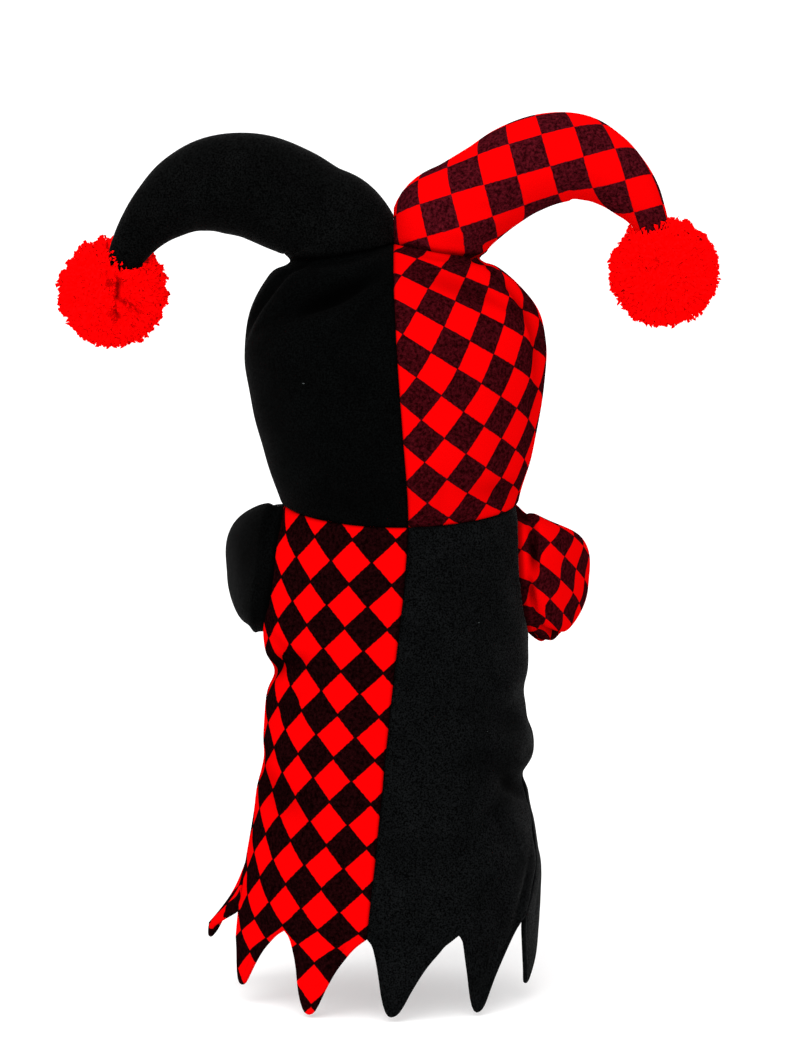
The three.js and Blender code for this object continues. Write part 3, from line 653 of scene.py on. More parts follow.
@dataclass(frozen=True)
class Fleece:
    """One plain colour of brushed knit, its pile a little uneven, some of it with lint, with
    painted shade in its creases and seams.
    """

    name: str
    colour: tuple[float, float, float]
    nap: Nap = Nap()
    lint: float = 0.0

    # scale of each cloud in the pile, and how much darker and lighter it makes it
    CLOUDS = ((1350.0, (0.0, 2.4)), (60.0, (0.82, 1.18)))
    NOISE = (0.36, 0.64)  # where most of the noise lies
    # how dark the painted shade in creases and seams makes it
    SHADE_IN_FOLDS = 0.93
    FIBRE = (0.05, 0.055, 0.055, 1)
    FIBRE_SCALE, FIBRE_SIZE = 105.0, 0.042

    def make(self) -> bpy.types.Material:
        """The material, built from procedural nodes."""
        pile = Pile(self.name, self.nap)
        light = 1.0
        for scale, to in self.CLOUDS:
            cloud = pile.ranged(pile.cloud(scale, 2.0), *self.NOISE, to)
            light = pile.math("MULTIPLY", light, cloud)
        # painted shade: colour and sheen are darkened in creases and seams
        light = pile.math("MULTIPLY", light, pile.out_of_painted_shade(self.SHADE_IN_FOLDS))
        colour = pile.scaled(self.colour, light)
        if self.lint:
            colour = self.with_lint(pile, colour)
        sheen = pile.math("MULTIPLY", light, self.nap.sheen)
        return pile.finish({"Sheen Weight": sheen, "Base Color": colour})

    def with_lint(self, pile: Pile, colour: bpy.types.NodeSocket) -> bpy.types.NodeSocket:
        """The colour with a few short pale fibres lying on the pile.

        Args:
            pile: The material.
            colour: The pile's own colour.

        Returns:
            The colour of both.
        """
        place = pile.node("ShaderNodeMapping", {
            "Vector": pile.place, "Rotation": (0.0, 0.5, 0.0), "Scale": (0.24, 1.0, 1.6)
        }).outputs["Vector"]
        inputs = {"Vector": place, "Scale": self.FIBRE_SCALE}
        cells = pile.node("ShaderNodeTexVoronoi", inputs).outputs
        near = pile.math("LESS_THAN", cells["Distance"], self.FIBRE_SIZE)
        split = pile.node("ShaderNodeSeparateColor", {"Color": cells["Color"]})
        chosen = pile.math("LESS_THAN", split.outputs[0], self.lint)
        return pile.mixed(pile.math("MULTIPLY", near, chosen), colour, self.FIBRE)


@dataclass(frozen=True)
class Check:
    """A two-colour check on the piece's own flat cut, which its UV map holds in metres.

    The light squares stand on a grid of this period, turned by an angle and pulled askew by a
    shear; a share of 1 lets their corners meet.
    """

    name: str
    period: tuple[float, float]
    angle: float
    offset: tuple[float, float]
    share: float
    red: tuple[float, float, float] = (0.66, 0.0005, 0.0009)
    dark: tuple[float, float, float] = (0.03, 0.0016, 0.003)
    nap: Nap = Nap(specular=0.0, sheen=0.0)
    shear: float = 0.0

    WOBBLE, SOFT = 0.05, 0.014  # how far the squares' edges waver and fade, in shares of a period
    BLEED_SCALE, BLEED = 700.0, (0.38, 0.72)  # where the red fibres show, in the noise
    DEEP, PALE = 0.25, 1.9  # how dark and light the dark squares get
    # how dark the painted shade in creases and seams makes it
    SHADE_IN_FOLDS = 0.7

    def make(self) -> bpy.types.Material:
        """The material, built from procedural nodes."""
        pile = Pile(self.name, self.nap)
        uv = pile.node("ShaderNodeUVMap", uv_map="cut").outputs["UV"]
        flat = pile.node("ShaderNodeSeparateXYZ", {"Vector": uv}).outputs
        pulled = pile.math("MULTIPLY_ADD", flat["X"], self.shear, flat["Y"])
        askew = pile.node("ShaderNodeCombineXYZ", {"X": flat["X"], "Y": pulled}).outputs["Vector"]
        place = pile.node("ShaderNodeMapping", vector_type="TEXTURE")
        pile.feed(place, {
            "Vector": askew,
            "Rotation": (0, 0, math.radians(self.angle)),
            "Location": (self.offset[0] * MM, self.offset[1] * MM, 0),
            "Scale": (self.period[0] * MM, self.period[1] * MM, 1),
        })
        split = pile.node("ShaderNodeSeparateXYZ", {"Vector": place.outputs["Vector"]})
        off = []
        for axis in ("X", "Y"):
            centred = pile.math("SUBTRACT", pile.math("FRACT", split.outputs[axis]), 0.5)
            off.append(pile.math("ABSOLUTE", centred))
        total = pile.math("ADD", *off)
        shaken = pile.math("MULTIPLY_ADD", pile.cloud(self.BLEED_SCALE, 1.0), self.WOBBLE, total)
        half = 0.5 * self.share + self.WOBBLE / 2
        edge = pile.ranged(shaken, half - self.SOFT, half + self.SOFT, smooth=True)
        colour = pile.mixed(edge, (*self.red, 1), self.mottled(pile))
        # painted shade: the check is darkened in creases and seams
        return pile.finish({"Base Color": pile.scaled(colour, pile.out_of_painted_shade(self.SHADE_IN_FOLDS))})

    def mottled(self, pile: Pile) -> bpy.types.NodeSocket:
        """The dark squares' colour, uneven where the red fibres show through the print."""
        bleed = pile.ranged(pile.cloud(self.BLEED_SCALE, 3.0, 0.7), *self.BLEED)
        deep, pale = ((*(part * by for part in self.dark), 1) for by in (self.DEEP, self.PALE))
        return pile.mixed(bleed, deep, pale)


@dataclass(frozen=True)
class Yarn:
    """Acrylic yarn or thread; its glow is painted light, an emission that lifts the shadows between
    the cut yarn's strands.
    """

    name: str
    colour: tuple[float, float, float]
    painted_glow: float = 0.2

    # how dark the painted shade in the partings makes it
    SHADE_IN_PARTINGS = 0.9

    def make(self) -> bpy.types.Material:
        """The material."""
        pile = Pile(self.name, Nap(specular=0.0, sheen=0.0, grain=5200, bump=0.2))
        if not self.painted_glow:
            return pile.finish({"Base Color": (*self.colour, 1)})
        # painted shade: colour and glow are darkened where the strands part
        tint = pile.scaled(self.colour, pile.out_of_painted_shade(self.SHADE_IN_PARTINGS))
        # painted light: the yarn glows to brighten its shadows
        return pile.finish({
            "Base Color": tint, "Emission Color": tint, "Emission Strength": self.painted_glow
        })


# Meshes


def spaced(length: float, step: float, near: tuple[float, ...] = ()) -> np.ndarray:
    """Shares of a length, closer together at both ends.

    Args:
        length: The whole length.
        step: The even step between the ends.
        near: Distances from either end that are added.

    Returns:
        Rising shares from 0 to 1.
    """
    inner = max(near) if near else 0.0
    count = max(int(round((length - 2 * inner) / step)), 1)
    middle = np.linspace(inner, length - inner, count + 1)
    ends = np.array([0.0, *near[:-1]]) if near else np.array([])
    return np.concatenate([ends, middle, (length - ends)[::-1]]) / length


SEAM_STEPS = (0.2, 0.5, 0.9, 1.4, 2.0, 2.8)
SOFT_WAVES, SOFT_LENGTHS = 7, (16, 34)  # the waves that make cloth faintly uneven
SHADE_FULL_DIP = 1.5  # depth of a seam's roll at which its painted shade is full
HORN_AROUND, HORN_STEPS, EASE_ROUNDS = 72, 7, 60
DRAWN_IN, DRAWN_TO = 2.6, 9  # how far a horn is drawn in at its seam, and up to where


def edge_round(distance: np.ndarray) -> np.ndarray:
    """Half the cloth's thickness at a distance from a free edge, which is rounded."""
    share = np.clip(distance / (CLOTH / 2), 0.03, 1)
    return CLOTH / 2 * np.sqrt(1 - (1 - share) ** 2)


def seam_dip(distance: np.ndarray, depth: float = 1.15, radius: float = 2.2) -> np.ndarray:
    """How far cloth rolls inward towards a sewn edge."""
    t = np.clip(distance / radius, 0, 1)
    return depth * (1 - np.sqrt(np.maximum(1 - (1 - t) ** 2, 0)))


def shell(
    name: str,
    outer: np.ndarray,
    inner: np.ndarray,
    cut: np.ndarray,
    material: bpy.types.Material,
    fold: np.ndarray,
    wraps: bool = False,
    kept: np.ndarray | None = None,
) -> bpy.types.Object:
    """A closed cloth shell between two grids of points.

    Args:
        name: The piece's name.
        outer: Rows by columns by 3, in millimetres.
        inner: The same for the inner face.
        cut: Rows by columns by 2, places on the flat cut in millimetres; one column more where
            the grid wraps.
        material: Its finish.
        fold: Rows by columns, from 0 to 1, how deep the painted shade is in creases and seams.
        wraps: Whether its last column joins its first.
        kept: Which cells of the grid are cloth; the others are an opening.

    Returns:
        The piece, at the origin, with its cut in the UV map.
    """
    rows, columns = outer.shape[:2]
    points = np.concatenate([outer.reshape(-1, 3), inner.reshape(-1, 3)])
    index = np.arange(rows * columns * 2).reshape(2, rows, columns)
    spans = columns if wraps else columns - 1
    if kept is None:
        kept = np.ones((rows - 1, spans), dtype=bool)
    row, column = np.nonzero(kept)
    corners = [(row, column), (row, column + 1), (row + 1, column + 1), (row + 1, column)]
    sheet = index[0], index[1]

    def quad(ends: list[tuple[int, tuple[np.ndarray, np.ndarray]]]) -> list[np.ndarray]:
        """Point numbers and places of four corners, each on the outer (0) or inner (1) face."""
        numbers = [sheet[face][r, c % columns] for face, (r, c) in ends]
        return [np.stack(numbers, -1), np.stack([cut[r, c] for _, (r, c) in ends], 1)]

    quads = [quad([(0, c) for c in corners]), quad([(1, c) for c in corners[::-1]])]
    # a cell's side is a rim where no kept cell lies beyond it
    framed = np.zeros((rows + 1, spans + 2), dtype=bool)
    framed[1:-1, 1:-1] = kept
    if wraps:
        framed[:, 0], framed[:, -1] = framed[:, -2], framed[:, 1]
    beyond = (
        framed[row, column + 1],
        framed[row + 1, column + 2],
        framed[row + 2, column + 1],
        framed[row + 1, column],
    )
    for k, there in enumerate(beyond):
        first, second = (tuple(part[~there] for part in corners[(k + i) % 4]) for i in (0, 1))
        quads.append(quad([(0, second), (0, first), (1, first), (1, second)]))
    faces, places = (np.concatenate(part) for part in zip(*quads))
    used, renamed = np.unique(faces, return_inverse=True)
    faces = renamed.reshape(faces.shape)
    points, shade_amount = points[used], np.concatenate([fold.ravel(), fold.ravel()])[used]
    a, b, c, d = (points[faces[:, i]] for i in range(4))
    volume = (a * (np.cross(b, c) + np.cross(c, d))).sum()
    if volume < 0:
        faces, places = faces[:, ::-1], places[:, ::-1]
    piece = mesh_object(name, points, faces.tolist())
    dressed(piece.data, material, places.reshape(-1, 2))
    paint_shade(piece.data, np.clip(shade_amount, 0, 1))
    piece.data.validate()
    piece.data.update()
    return piece


def mesh_object(
    name: str, points: np.ndarray, faces: list, edges: list | tuple = ()
) -> bpy.types.Object:
    """A new object with a mesh.

    Args:
        name: The name of both.
        points: Its points, in millimetres.
        faces: The point numbers of each face.
        edges: The point numbers of each loose edge.

    Returns:
        The object, in the scene.
    """
    mesh = bpy.data.meshes.new(name)
    mesh.from_pydata((np.asarray(points) * MM).tolist(), edges, faces)
    mesh.update()
    piece = bpy.data.objects.new(name, mesh)
    bpy.context.collection.objects.link(piece)
    return piece


def dressed(mesh: bpy.types.Mesh, material: bpy.types.Material, places: np.ndarray) -> None:
    """Gives a mesh its finish, smooth faces and its cut as the UV map.

    Args:
        mesh: The mesh.
        material: Its finish.
        places: Each face corner's place on the flat cut, in millimetres.
    """
    mesh.materials.append(material)
    layer = mesh.uv_layers.new(name="cut")
    layer.data.foreach_set("uv", np.ascontiguousarray(places * MM).ravel())
    mesh.polygons.foreach_set("use_smooth", np.ones(len(mesh.polygons), dtype=bool))


def paint_shade(mesh: bpy.types.Mesh, fold: np.ndarray) -> None:
    """Stores at each point, from 0 to 1, how deep the painted shade is: in creases, seams and the
    yarn's partings.
    """
    shade_amount = mesh.attributes.new("fold", "FLOAT", "POINT")
    shade_amount.data.foreach_set("value", fold.astype(np.float32))


def tube_faces(rings: int, around: int) -> tuple[np.ndarray, list[list[int]]]:
    """Faces of a tube, whose points are numbered ring by ring.

    Args:
        rings: How many rings it has.
        around: How many points each ring has.

    Returns:
        The point numbers, rings by points, and the four-sided faces between the rings.
    """
    index = np.arange(rings * around).reshape(rings, around)
    nxt = np.roll(index, -1, axis=1)
    quads = np.stack([index[:-1], nxt[:-1], nxt[1:], index[1:]], -1)
    return index, quads.reshape(-1, 4).tolist()


def settled(piece: bpy.types.Object) -> bpy.types.Object:
    """The piece with its modifiers applied to a plain mesh."""
    bpy.context.view_layer.update()
    graph = bpy.context.evaluated_depsgraph_get()
    mesh = bpy.data.meshes.new_from_object(piece.evaluated_get(graph))
    old = piece.data
    piece.modifiers.clear()
    piece.data = mesh
    mesh.name = piece.name
    bpy.data.meshes.remove(old)
    return piece


def cut_by(
    piece: bpy.types.Object, cutter: bpy.types.Object, crossing: bool = False
) -> bpy.types.Object:
    """The piece with the cutter's volume taken away; the cutter is removed.

    Args:
        piece: The piece that is cut.
        cutter: The closed volume that is taken away.
        crossing: Whether the piece's own faces cross each other.

    Returns:
        The piece.
    """
    change = piece.modifiers.new("cut", "BOOLEAN")
    change.operation = "DIFFERENCE"
    change.solver = "EXACT"
    change.use_self = crossing
    change.object = cutter
    settled(piece)
    mesh = cutter.data
    bpy.data.objects.remove(cutter)
    bpy.data.meshes.remove(mesh)
    return piece


def handed_over(piece: bpy.types.Object, node: str) -> bpy.types.Object:
    """The piece standing for its CAD node on the root body."""
    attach(piece, "root")
    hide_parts(node)
    return piece


def softness(points: np.ndarray, seed: int, size: float = 0.35) -> np.ndarray:
    """Faint unevenness of soft cloth over points in millimetres."""
    random = np.random.default_rng(seed)
    total = np.zeros(points.shape[:-1])
    for _ in range(SOFT_WAVES):
        way = random.normal(size=3)
        way /= np.linalg.norm(way) * random.uniform(*SOFT_LENGTHS) / (2 * math.pi)
        total += np.sin(points @ way + random.uniform(0, 2 * math.pi))
    return total * size / 3


@dataclass(frozen=True)
class SheetFacts:
    """What a flat panel was cut from: width and length in metres, and its area in square metres."""

    flat: tuple[float, float]
    area: float


class Grower(Graph):
    """A Geometry Nodes tree with named inputs."""

    SOCKETS = {int: "NodeSocketInt", float: "NodeSocketFloat"}

    def __init__(
        self, name: str, material: bpy.types.Material, values: dict[str, int | float]
    ) -> None:
        """Makes its sockets.

        Args:
            name: The tree's name.
            material: The finish of what it grows.
            values: What its own inputs are given.
        """
        super().__init__(bpy.data.node_groups.new(name, "GeometryNodeTree"))
        self.values = {**values, "Material": material}
        sockets = [("Geometry", "NodeSocketGeometry")]
        sockets += [(key, self.SOCKETS[type(value)]) for key, value in values.items()]
        sockets.append(("Material", "NodeSocketMaterial"))
        for key, kind in sockets:
            self.tree.interface.new_socket(key, in_out="INPUT", socket_type=kind)
        kind = "NodeSocketGeometry"
        self.tree.interface.new_socket("Geometry", in_out="OUTPUT", socket_type=kind)
        self.given = self.node("NodeGroupInput").outputs

    def placed(self, spots: object, form: object, size: object) -> bpy.types.NodeSocket:
        """Copies of a form on points.

        Args:
            spots: The outputs of the node that makes the points.
            form: The form's geometry.
            size: Each copy's scale.

        Returns:
            The geometry of all copies.
        """
        copies = self.node("GeometryNodeInstanceOnPoints", {
            "Points": spots["Points"], "Rotation": spots["Rotation"],
            "Instance": form, "Scale": size,
        })
        inputs = {"Geometry": copies.outputs["Instances"]}
        return self.node("GeometryNodeRealizeInstances", inputs).outputs["Geometry"]

    def apply(self, piece: bpy.types.Object, result: bpy.types.NodeSocket) -> bpy.types.Object:
        """Ends the tree and applies it.

        Args:
            piece: The piece it is applied to.
            result: The geometry it ends with.

        Returns:
            The piece.
        """
        inputs = {"Geometry": result, "Material": self.given["Material"]}
        finish = self.node("GeometryNodeSetMaterial", inputs)
        self.node("NodeGroupOutput", {"Geometry": finish.outputs["Geometry"]})
        change = piece.modifiers.new("grown", "NODES")
        change.node_group = self.tree
        for item in self.tree.interface.items_tree:
            if item.name in self.values:
                change[item.identifier] = self.values[item.name]
        return settled(piece)


@dataclass(frozen=True)
class Stitching:
    """A row of stitches along the turned edge of a panel, in millimetres."""

    name: str
    material: bpy.types.Material
    pitch: float = 3.1
    length: float = 2.2
    radius: float = 0.26

    def build(self, line: np.ndarray) -> bpy.types.Object:
        """The stitches, set out by Geometry Nodes and applied.

        Args:
            line: The points they follow.

        Returns:
            All of them as one piece.
        """
        piece = mesh_object(self.name, line, [], [(i, i + 1) for i in range(len(line) - 1)])
        sizes = {"Pitch": self.pitch * MM, "Length": self.length * MM, "Radius": self.radius * MM}
        graph = Grower(self.name, self.material, {**sizes, "Seed": 3})
        given = graph.given
        path = graph.node("GeometryNodeMeshToCurve", {"Mesh": given["Geometry"]})
        inputs = {"Curve": path.outputs["Curve"], "Length": given["Pitch"]}
        spots = graph.node("GeometryNodeCurveToPoints", inputs, mode="LENGTH").outputs
        ball = graph.node("GeometryNodeMeshUVSphere", {"Segments": 8, "Rings": 5}).outputs["Mesh"]
        vary = graph.node("FunctionNodeRandomValue", {2: 0.85, 3: 1.1, "Seed": given["Seed"]})
        half = graph.math("MULTIPLY", given["Length"], 0.5)
        size = graph.node("ShaderNodeCombineXYZ", {
            "X": given["Radius"], "Y": given["Radius"],
            "Z": graph.math("MULTIPLY", half, vary.outputs[1]),
        })
        return graph.apply(piece, graph.placed(spots, ball, size.outputs["Vector"]))


@dataclass
class Piece:
    """One piece of the costume, which stands for a CAD node."""

    KIND = ""

    side: Side
    material: bpy.types.Material

    @property
    def node(self) -> str:
        """Its CAD node's name."""
        return f"{self.KIND}_{self.side.name.lower()}"



@dataclass
class Cloth(Piece):
    """A piece cut from a flat panel."""

    slot: str
    facts: SheetFacts

    SHADE_FULL_DEPTH = 5.0  # depth of a crease at which its painted shade is full

    @property
    def shift(self) -> np.ndarray:
        """How far it is moved off the centre seam."""
        return np.array([self.side.value * SEEN_GAP, 0.0, 0.0])

    def sewn(
        self,
        faces: tuple[np.ndarray, np.ndarray],
        cut: np.ndarray,
        shade_amount: np.ndarray,
        wraps: bool = False,
        kept: np.ndarray | None = None,
    ) -> bpy.types.Object:
        """The piece as a thin shell in its CAD node's place.

        Args:
            faces: Its outer and its inner face, in millimetres.
            cut: Places on the flat cut, in millimetres.
            shade_amount: How deep the painted shade is in its creases and seams.
            wraps: Whether it is closed round.
            kept: Which cells are cloth.

        Returns:
            The piece.
        """
        name = self.node + "_cloth"
        piece = shell(name, *faces, cut, self.material, shade_amount, wraps, kept)
        return handed_over(piece, self.node)


@dataclass
class BodyPanel(Cloth):
    """One of the four body panels, from the neck seam down to its points."""

    front: bool
    thread: bpy.types.Material

    COLUMN_STEP, ROW_STEP, ROW_LENGTH = 1.25, 1.5, 190.0
    LAST_ROW = 0.985  # share of the length above the points where the even rows end
    # distances of the last rows from the hem's edge
    NEAR_EDGE = (6, 5.2, 4.6, 4.1, 3.7, 3.3, 2.9, 2.5, 2.0, 1.5, 1.0, 0.7, 0.45, 0.25, 0.1, 0)
    HEM_LINE, HEM_SOFT, HEM_GROOVE = 3.2, 0.7, 0.12  # where the turned hem is sewn inside
    STITCH_LINE = 3.3
    CENTRE_X, CURL = -4.0, 5.5  # on the flat cut: the upright's place, and what the points curl up
    # crease depth at which the body's painted shade is full
    SHADE_FULL_DEPTH = 4.5

    @property
    def node(self) -> str:
        """Its CAD node's name."""
        return f"{'front' if self.front else 'back'}_{self.side.name.lower()}"

    def build(self) -> bpy.types.Object:
        """The panel as a thin shell, cut for the armhole."""
        side = self.side.value
        centre = 180.0 if self.front else 0.0
        arc = math.radians(abs(centre - HEM_SIDE_TURN)) * MEAN_RADIUS
        share = spaced(arc, self.COLUMN_STEP, SEAM_STEPS)
        hem = self.hem(side * lerp(centre, HEM_SIDE_TURN, share))
        top = side * lerp(centre, float(SIDE_SEAM.curve("turn", np.array(0.0))), share)
        rows, edge = self.rows(hem, top, share * arc)
        turn_here = lerp(centre, SIDE_SEAM.curve("turn", rows), share[None, :])
        trim = share[None, :] * GAP_TURN * (1 if self.front else -1)
        turn = side * (np.radians(turn_here) + trim)
        low = np.clip((SWING_FROM_Z - rows) / (SWING_FROM_Z - HEM_VALLEY_Z), 0, 1.2)
        swing = hem["out"][None, :] * low**SWING_CURVE
        turn, rows, kept = self.armhole(turn, rows)
        creased = trough(BODY_CREASES + BODY_SMALL_CREASES, turn, rows)
        base = BodyForm.smooth(turn, rows)
        dent = creased + softness(base, 11 + side + 2 * self.front)
        to_seam = np.minimum(share, 1 - share)[None, :] * arc
        dip = np.maximum(seam_dip(to_seam), seam_dip(rows[:1] - rows))
        dip = np.maximum(dip, seam_dip(np.maximum(self.armhole_distance(base), 0)))
        half = edge_round(edge)
        middle = swing - dent - CLOTH / 2
        out = middle + half + self.hem_relief(edge) - dip
        outer = BodyForm.moved(turn, rows, out) + self.shift
        inner = BodyForm.moved(turn, rows, middle - half) + self.shift
        # painted shade in the creases, along the seams' rolls and in the hem's sewn groove
        shade_amount = creased / self.SHADE_FULL_DEPTH + dip / SHADE_FULL_DIP + self.hem_groove(edge)
        piece = self.sewn((outer, inner), self.cut(outer), shade_amount, kept=kept)
        row = int(np.argmin(np.abs(np.median(edge, axis=1) - self.STITCH_LINE)))
        thread = Stitching(self.node + "_stitches", self.thread).build(inner[row])
        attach(thread, "root")
        return piece

    def hem(self, turn: np.ndarray) -> dict[str, np.ndarray]:
        """The hem's form.

        Args:
            turn: Turns in degrees.

        Returns:
            Its valleys, its heights (z) and how far it swings out there.
        """
        front = (1 - np.cos(np.radians(turn))) / 2
        valley = HEM_VALLEY_Z + BELLY_RISE * front**1.5
        ways, reaches = np.array(FRONT_POINT if self.front else BACK_POINT).T
        wrapped = (turn + 180) % 360 - 180
        drop = np.zeros_like(turn)
        out = np.zeros_like(turn)
        for start, tip, length, swing, pointed in HEM_POINTS:
            across = (wrapped - start) / POINT_TURN
            knots = tip + ways * np.where(ways < 0, tip, 1 - tip)
            here = (across >= 0) & (across <= 1)
            reach = np.clip(hermite(knots, reaches, across), 0, 1) ** pointed
            drop = np.where(here, length * reach, drop)
            off = turn - start - tip * POINT_TURN
            out += swing * np.exp(-((off / (POINT_TURN / 2)) ** 2))
        return {"valley": valley, "z": valley - drop, "out": out}

    def rows(
        self, hem: dict[str, np.ndarray], top: np.ndarray, run: np.ndarray
    ) -> tuple[np.ndarray, np.ndarray]:
        """Heights of the grid and each point's distance from the hem's edge.

        Args:
            hem: The hem's form per column.
            top: Turn of each column at the neck, in degrees.
            run: Way of each column from the first one.

        Returns:
            Heights and distances, rows by columns.
        """
        seam_turn = float(Ring.read(BODY_RINGS, np.array(0.0)).seam_turn)
        neck = neck_z(np.radians(top) + seam_turn) - SEEN_GAP
        above = hem["valley"] + ABOVE_POINTS
        slope = np.gradient(hem["z"], run)
        steep = 1 / np.sqrt(1 + np.minimum(slope**2, 6.0))
        near = np.array(self.NEAR_EDGE)
        down = spaced(self.ROW_LENGTH, self.ROW_STEP, SEAM_STEPS)
        down = down[: np.searchsorted(down, self.LAST_ROW)]
        body = lerp(neck[None, :], above[None, :], down[:, None])
        # the last distances above the edge, squeezed where the valleys leave less room
        room = np.minimum(near[0] / steep, above - hem["z"] - 2.0)
        between = np.linspace(0, 1, 26)[:-1]
        points = lerp(above[None, :], (hem["z"] + room)[None, :], between[:, None])
        last = hem["z"][None, :] + near[:, None] / near[0] * room[None, :]
        rows = np.concatenate([body, points, last])
        return rows, (rows - hem["z"][None, :]) * steep[None, :]

    def hem_groove(self, edge: np.ndarray) -> np.ndarray:
        """The faint line where the turned hem is sewn inside, at distances from its edge."""
        return self.HEM_GROOVE * np.exp(-(((edge - self.HEM_LINE) / self.HEM_SOFT) ** 2))

    def hem_relief(self, edge: np.ndarray) -> np.ndarray:
        """The turned hem's relief: a faint band along the edge, and its groove."""
        band = 0.15 * (1 - smoothstep(edge, 2.4, 3.6)) * smoothstep(edge, 0, 1.2)
        return band - self.hem_groove(edge)

    def armhole_distance(self, points: np.ndarray) -> np.ndarray:
        """Distance outside the armhole's edge, negative within it."""
        y, z = points[..., 1] - ARMHOLE_Y, points[..., 2] - ARMHOLE_Z
        reach = np.hypot(y / EDGE_DEPTH, z / EDGE_HEIGHT)
        radius = np.hypot(y, z) / np.maximum(reach, 1e-6)
        sided = points[..., 0] * self.side.value > 15
        return np.where(sided, (reach - 1) * radius, FAR)

    def armhole(
        self, turn: np.ndarray, z: np.ndarray
    ) -> tuple[np.ndarray, np.ndarray, np.ndarray]:
        """The grid with its armhole: cells inside are left out, and the rim is drawn to its edge.

        Args:
            turn: Turns of the grid in radians.
            z: Heights of the grid.

        Returns:
            The turns and heights with the rim moved, and the kept cells.
        """
        points = BodyForm.smooth(turn, z)
        outside = self.armhole_distance(points)
        middles = (outside[1:, 1:] + outside[1:, :-1] + outside[:-1, 1:] + outside[:-1, :-1]) / 4
        kept = middles > 0
        left_out, touched = np.zeros((2, *turn.shape), dtype=bool)
        for down in (0, 1):
            for across in (0, 1):
                part = (slice(down, down + kept.shape[0]), slice(across, across + kept.shape[1]))
                left_out[part] |= ~kept
                touched[part] |= kept
        rim = left_out & touched
        # rim points slide straight to the edge; those on the neck seam keep their height
        y, height = points[..., 1] - ARMHOLE_Y, points[..., 2] - ARMHOLE_Z
        reach = np.maximum(np.hypot(y / EDGE_DEPTH, height / EDGE_HEIGHT), 1e-6)
        to_y, to_z = y / reach, height / reach
        level = np.clip(1 - (height[0] / EDGE_HEIGHT) ** 2, 0, 1)
        to_y[0], to_z[0] = np.sign(y[0]) * EDGE_DEPTH * np.sqrt(level), height[0]
        new_z = to_z + ARMHOLE_Z
        ring = Ring.read(BODY_RINGS, new_z)
        cosine = np.clip((ring.depth_middle - to_y - ARMHOLE_Y) / ring.half_depth, -1, 1)
        new_turn = self.side.value * np.arccos(cosine) - ring.seam_turn
        return np.where(rim, new_turn, turn), np.where(rim, new_z, z), kept

    def cut(self, outer: np.ndarray) -> np.ndarray:
        """Places on the flat cut: round the body, from the upright through the neck seam, and down.

        Args:
            outer: The cloth's outer face.

        Returns:
            Each point's place.
        """
        way = -1 if self.front else 1
        around = run_along(outer[..., :2], 1) * self.side.value * way
        lateral = outer[:, :1, 0] * way + self.CENTRE_X + around
        down = outer[..., 2] - self.CURL * (1 - smoothstep(outer[..., 2], -206, -182))
        return np.stack([lateral, down], axis=-1)


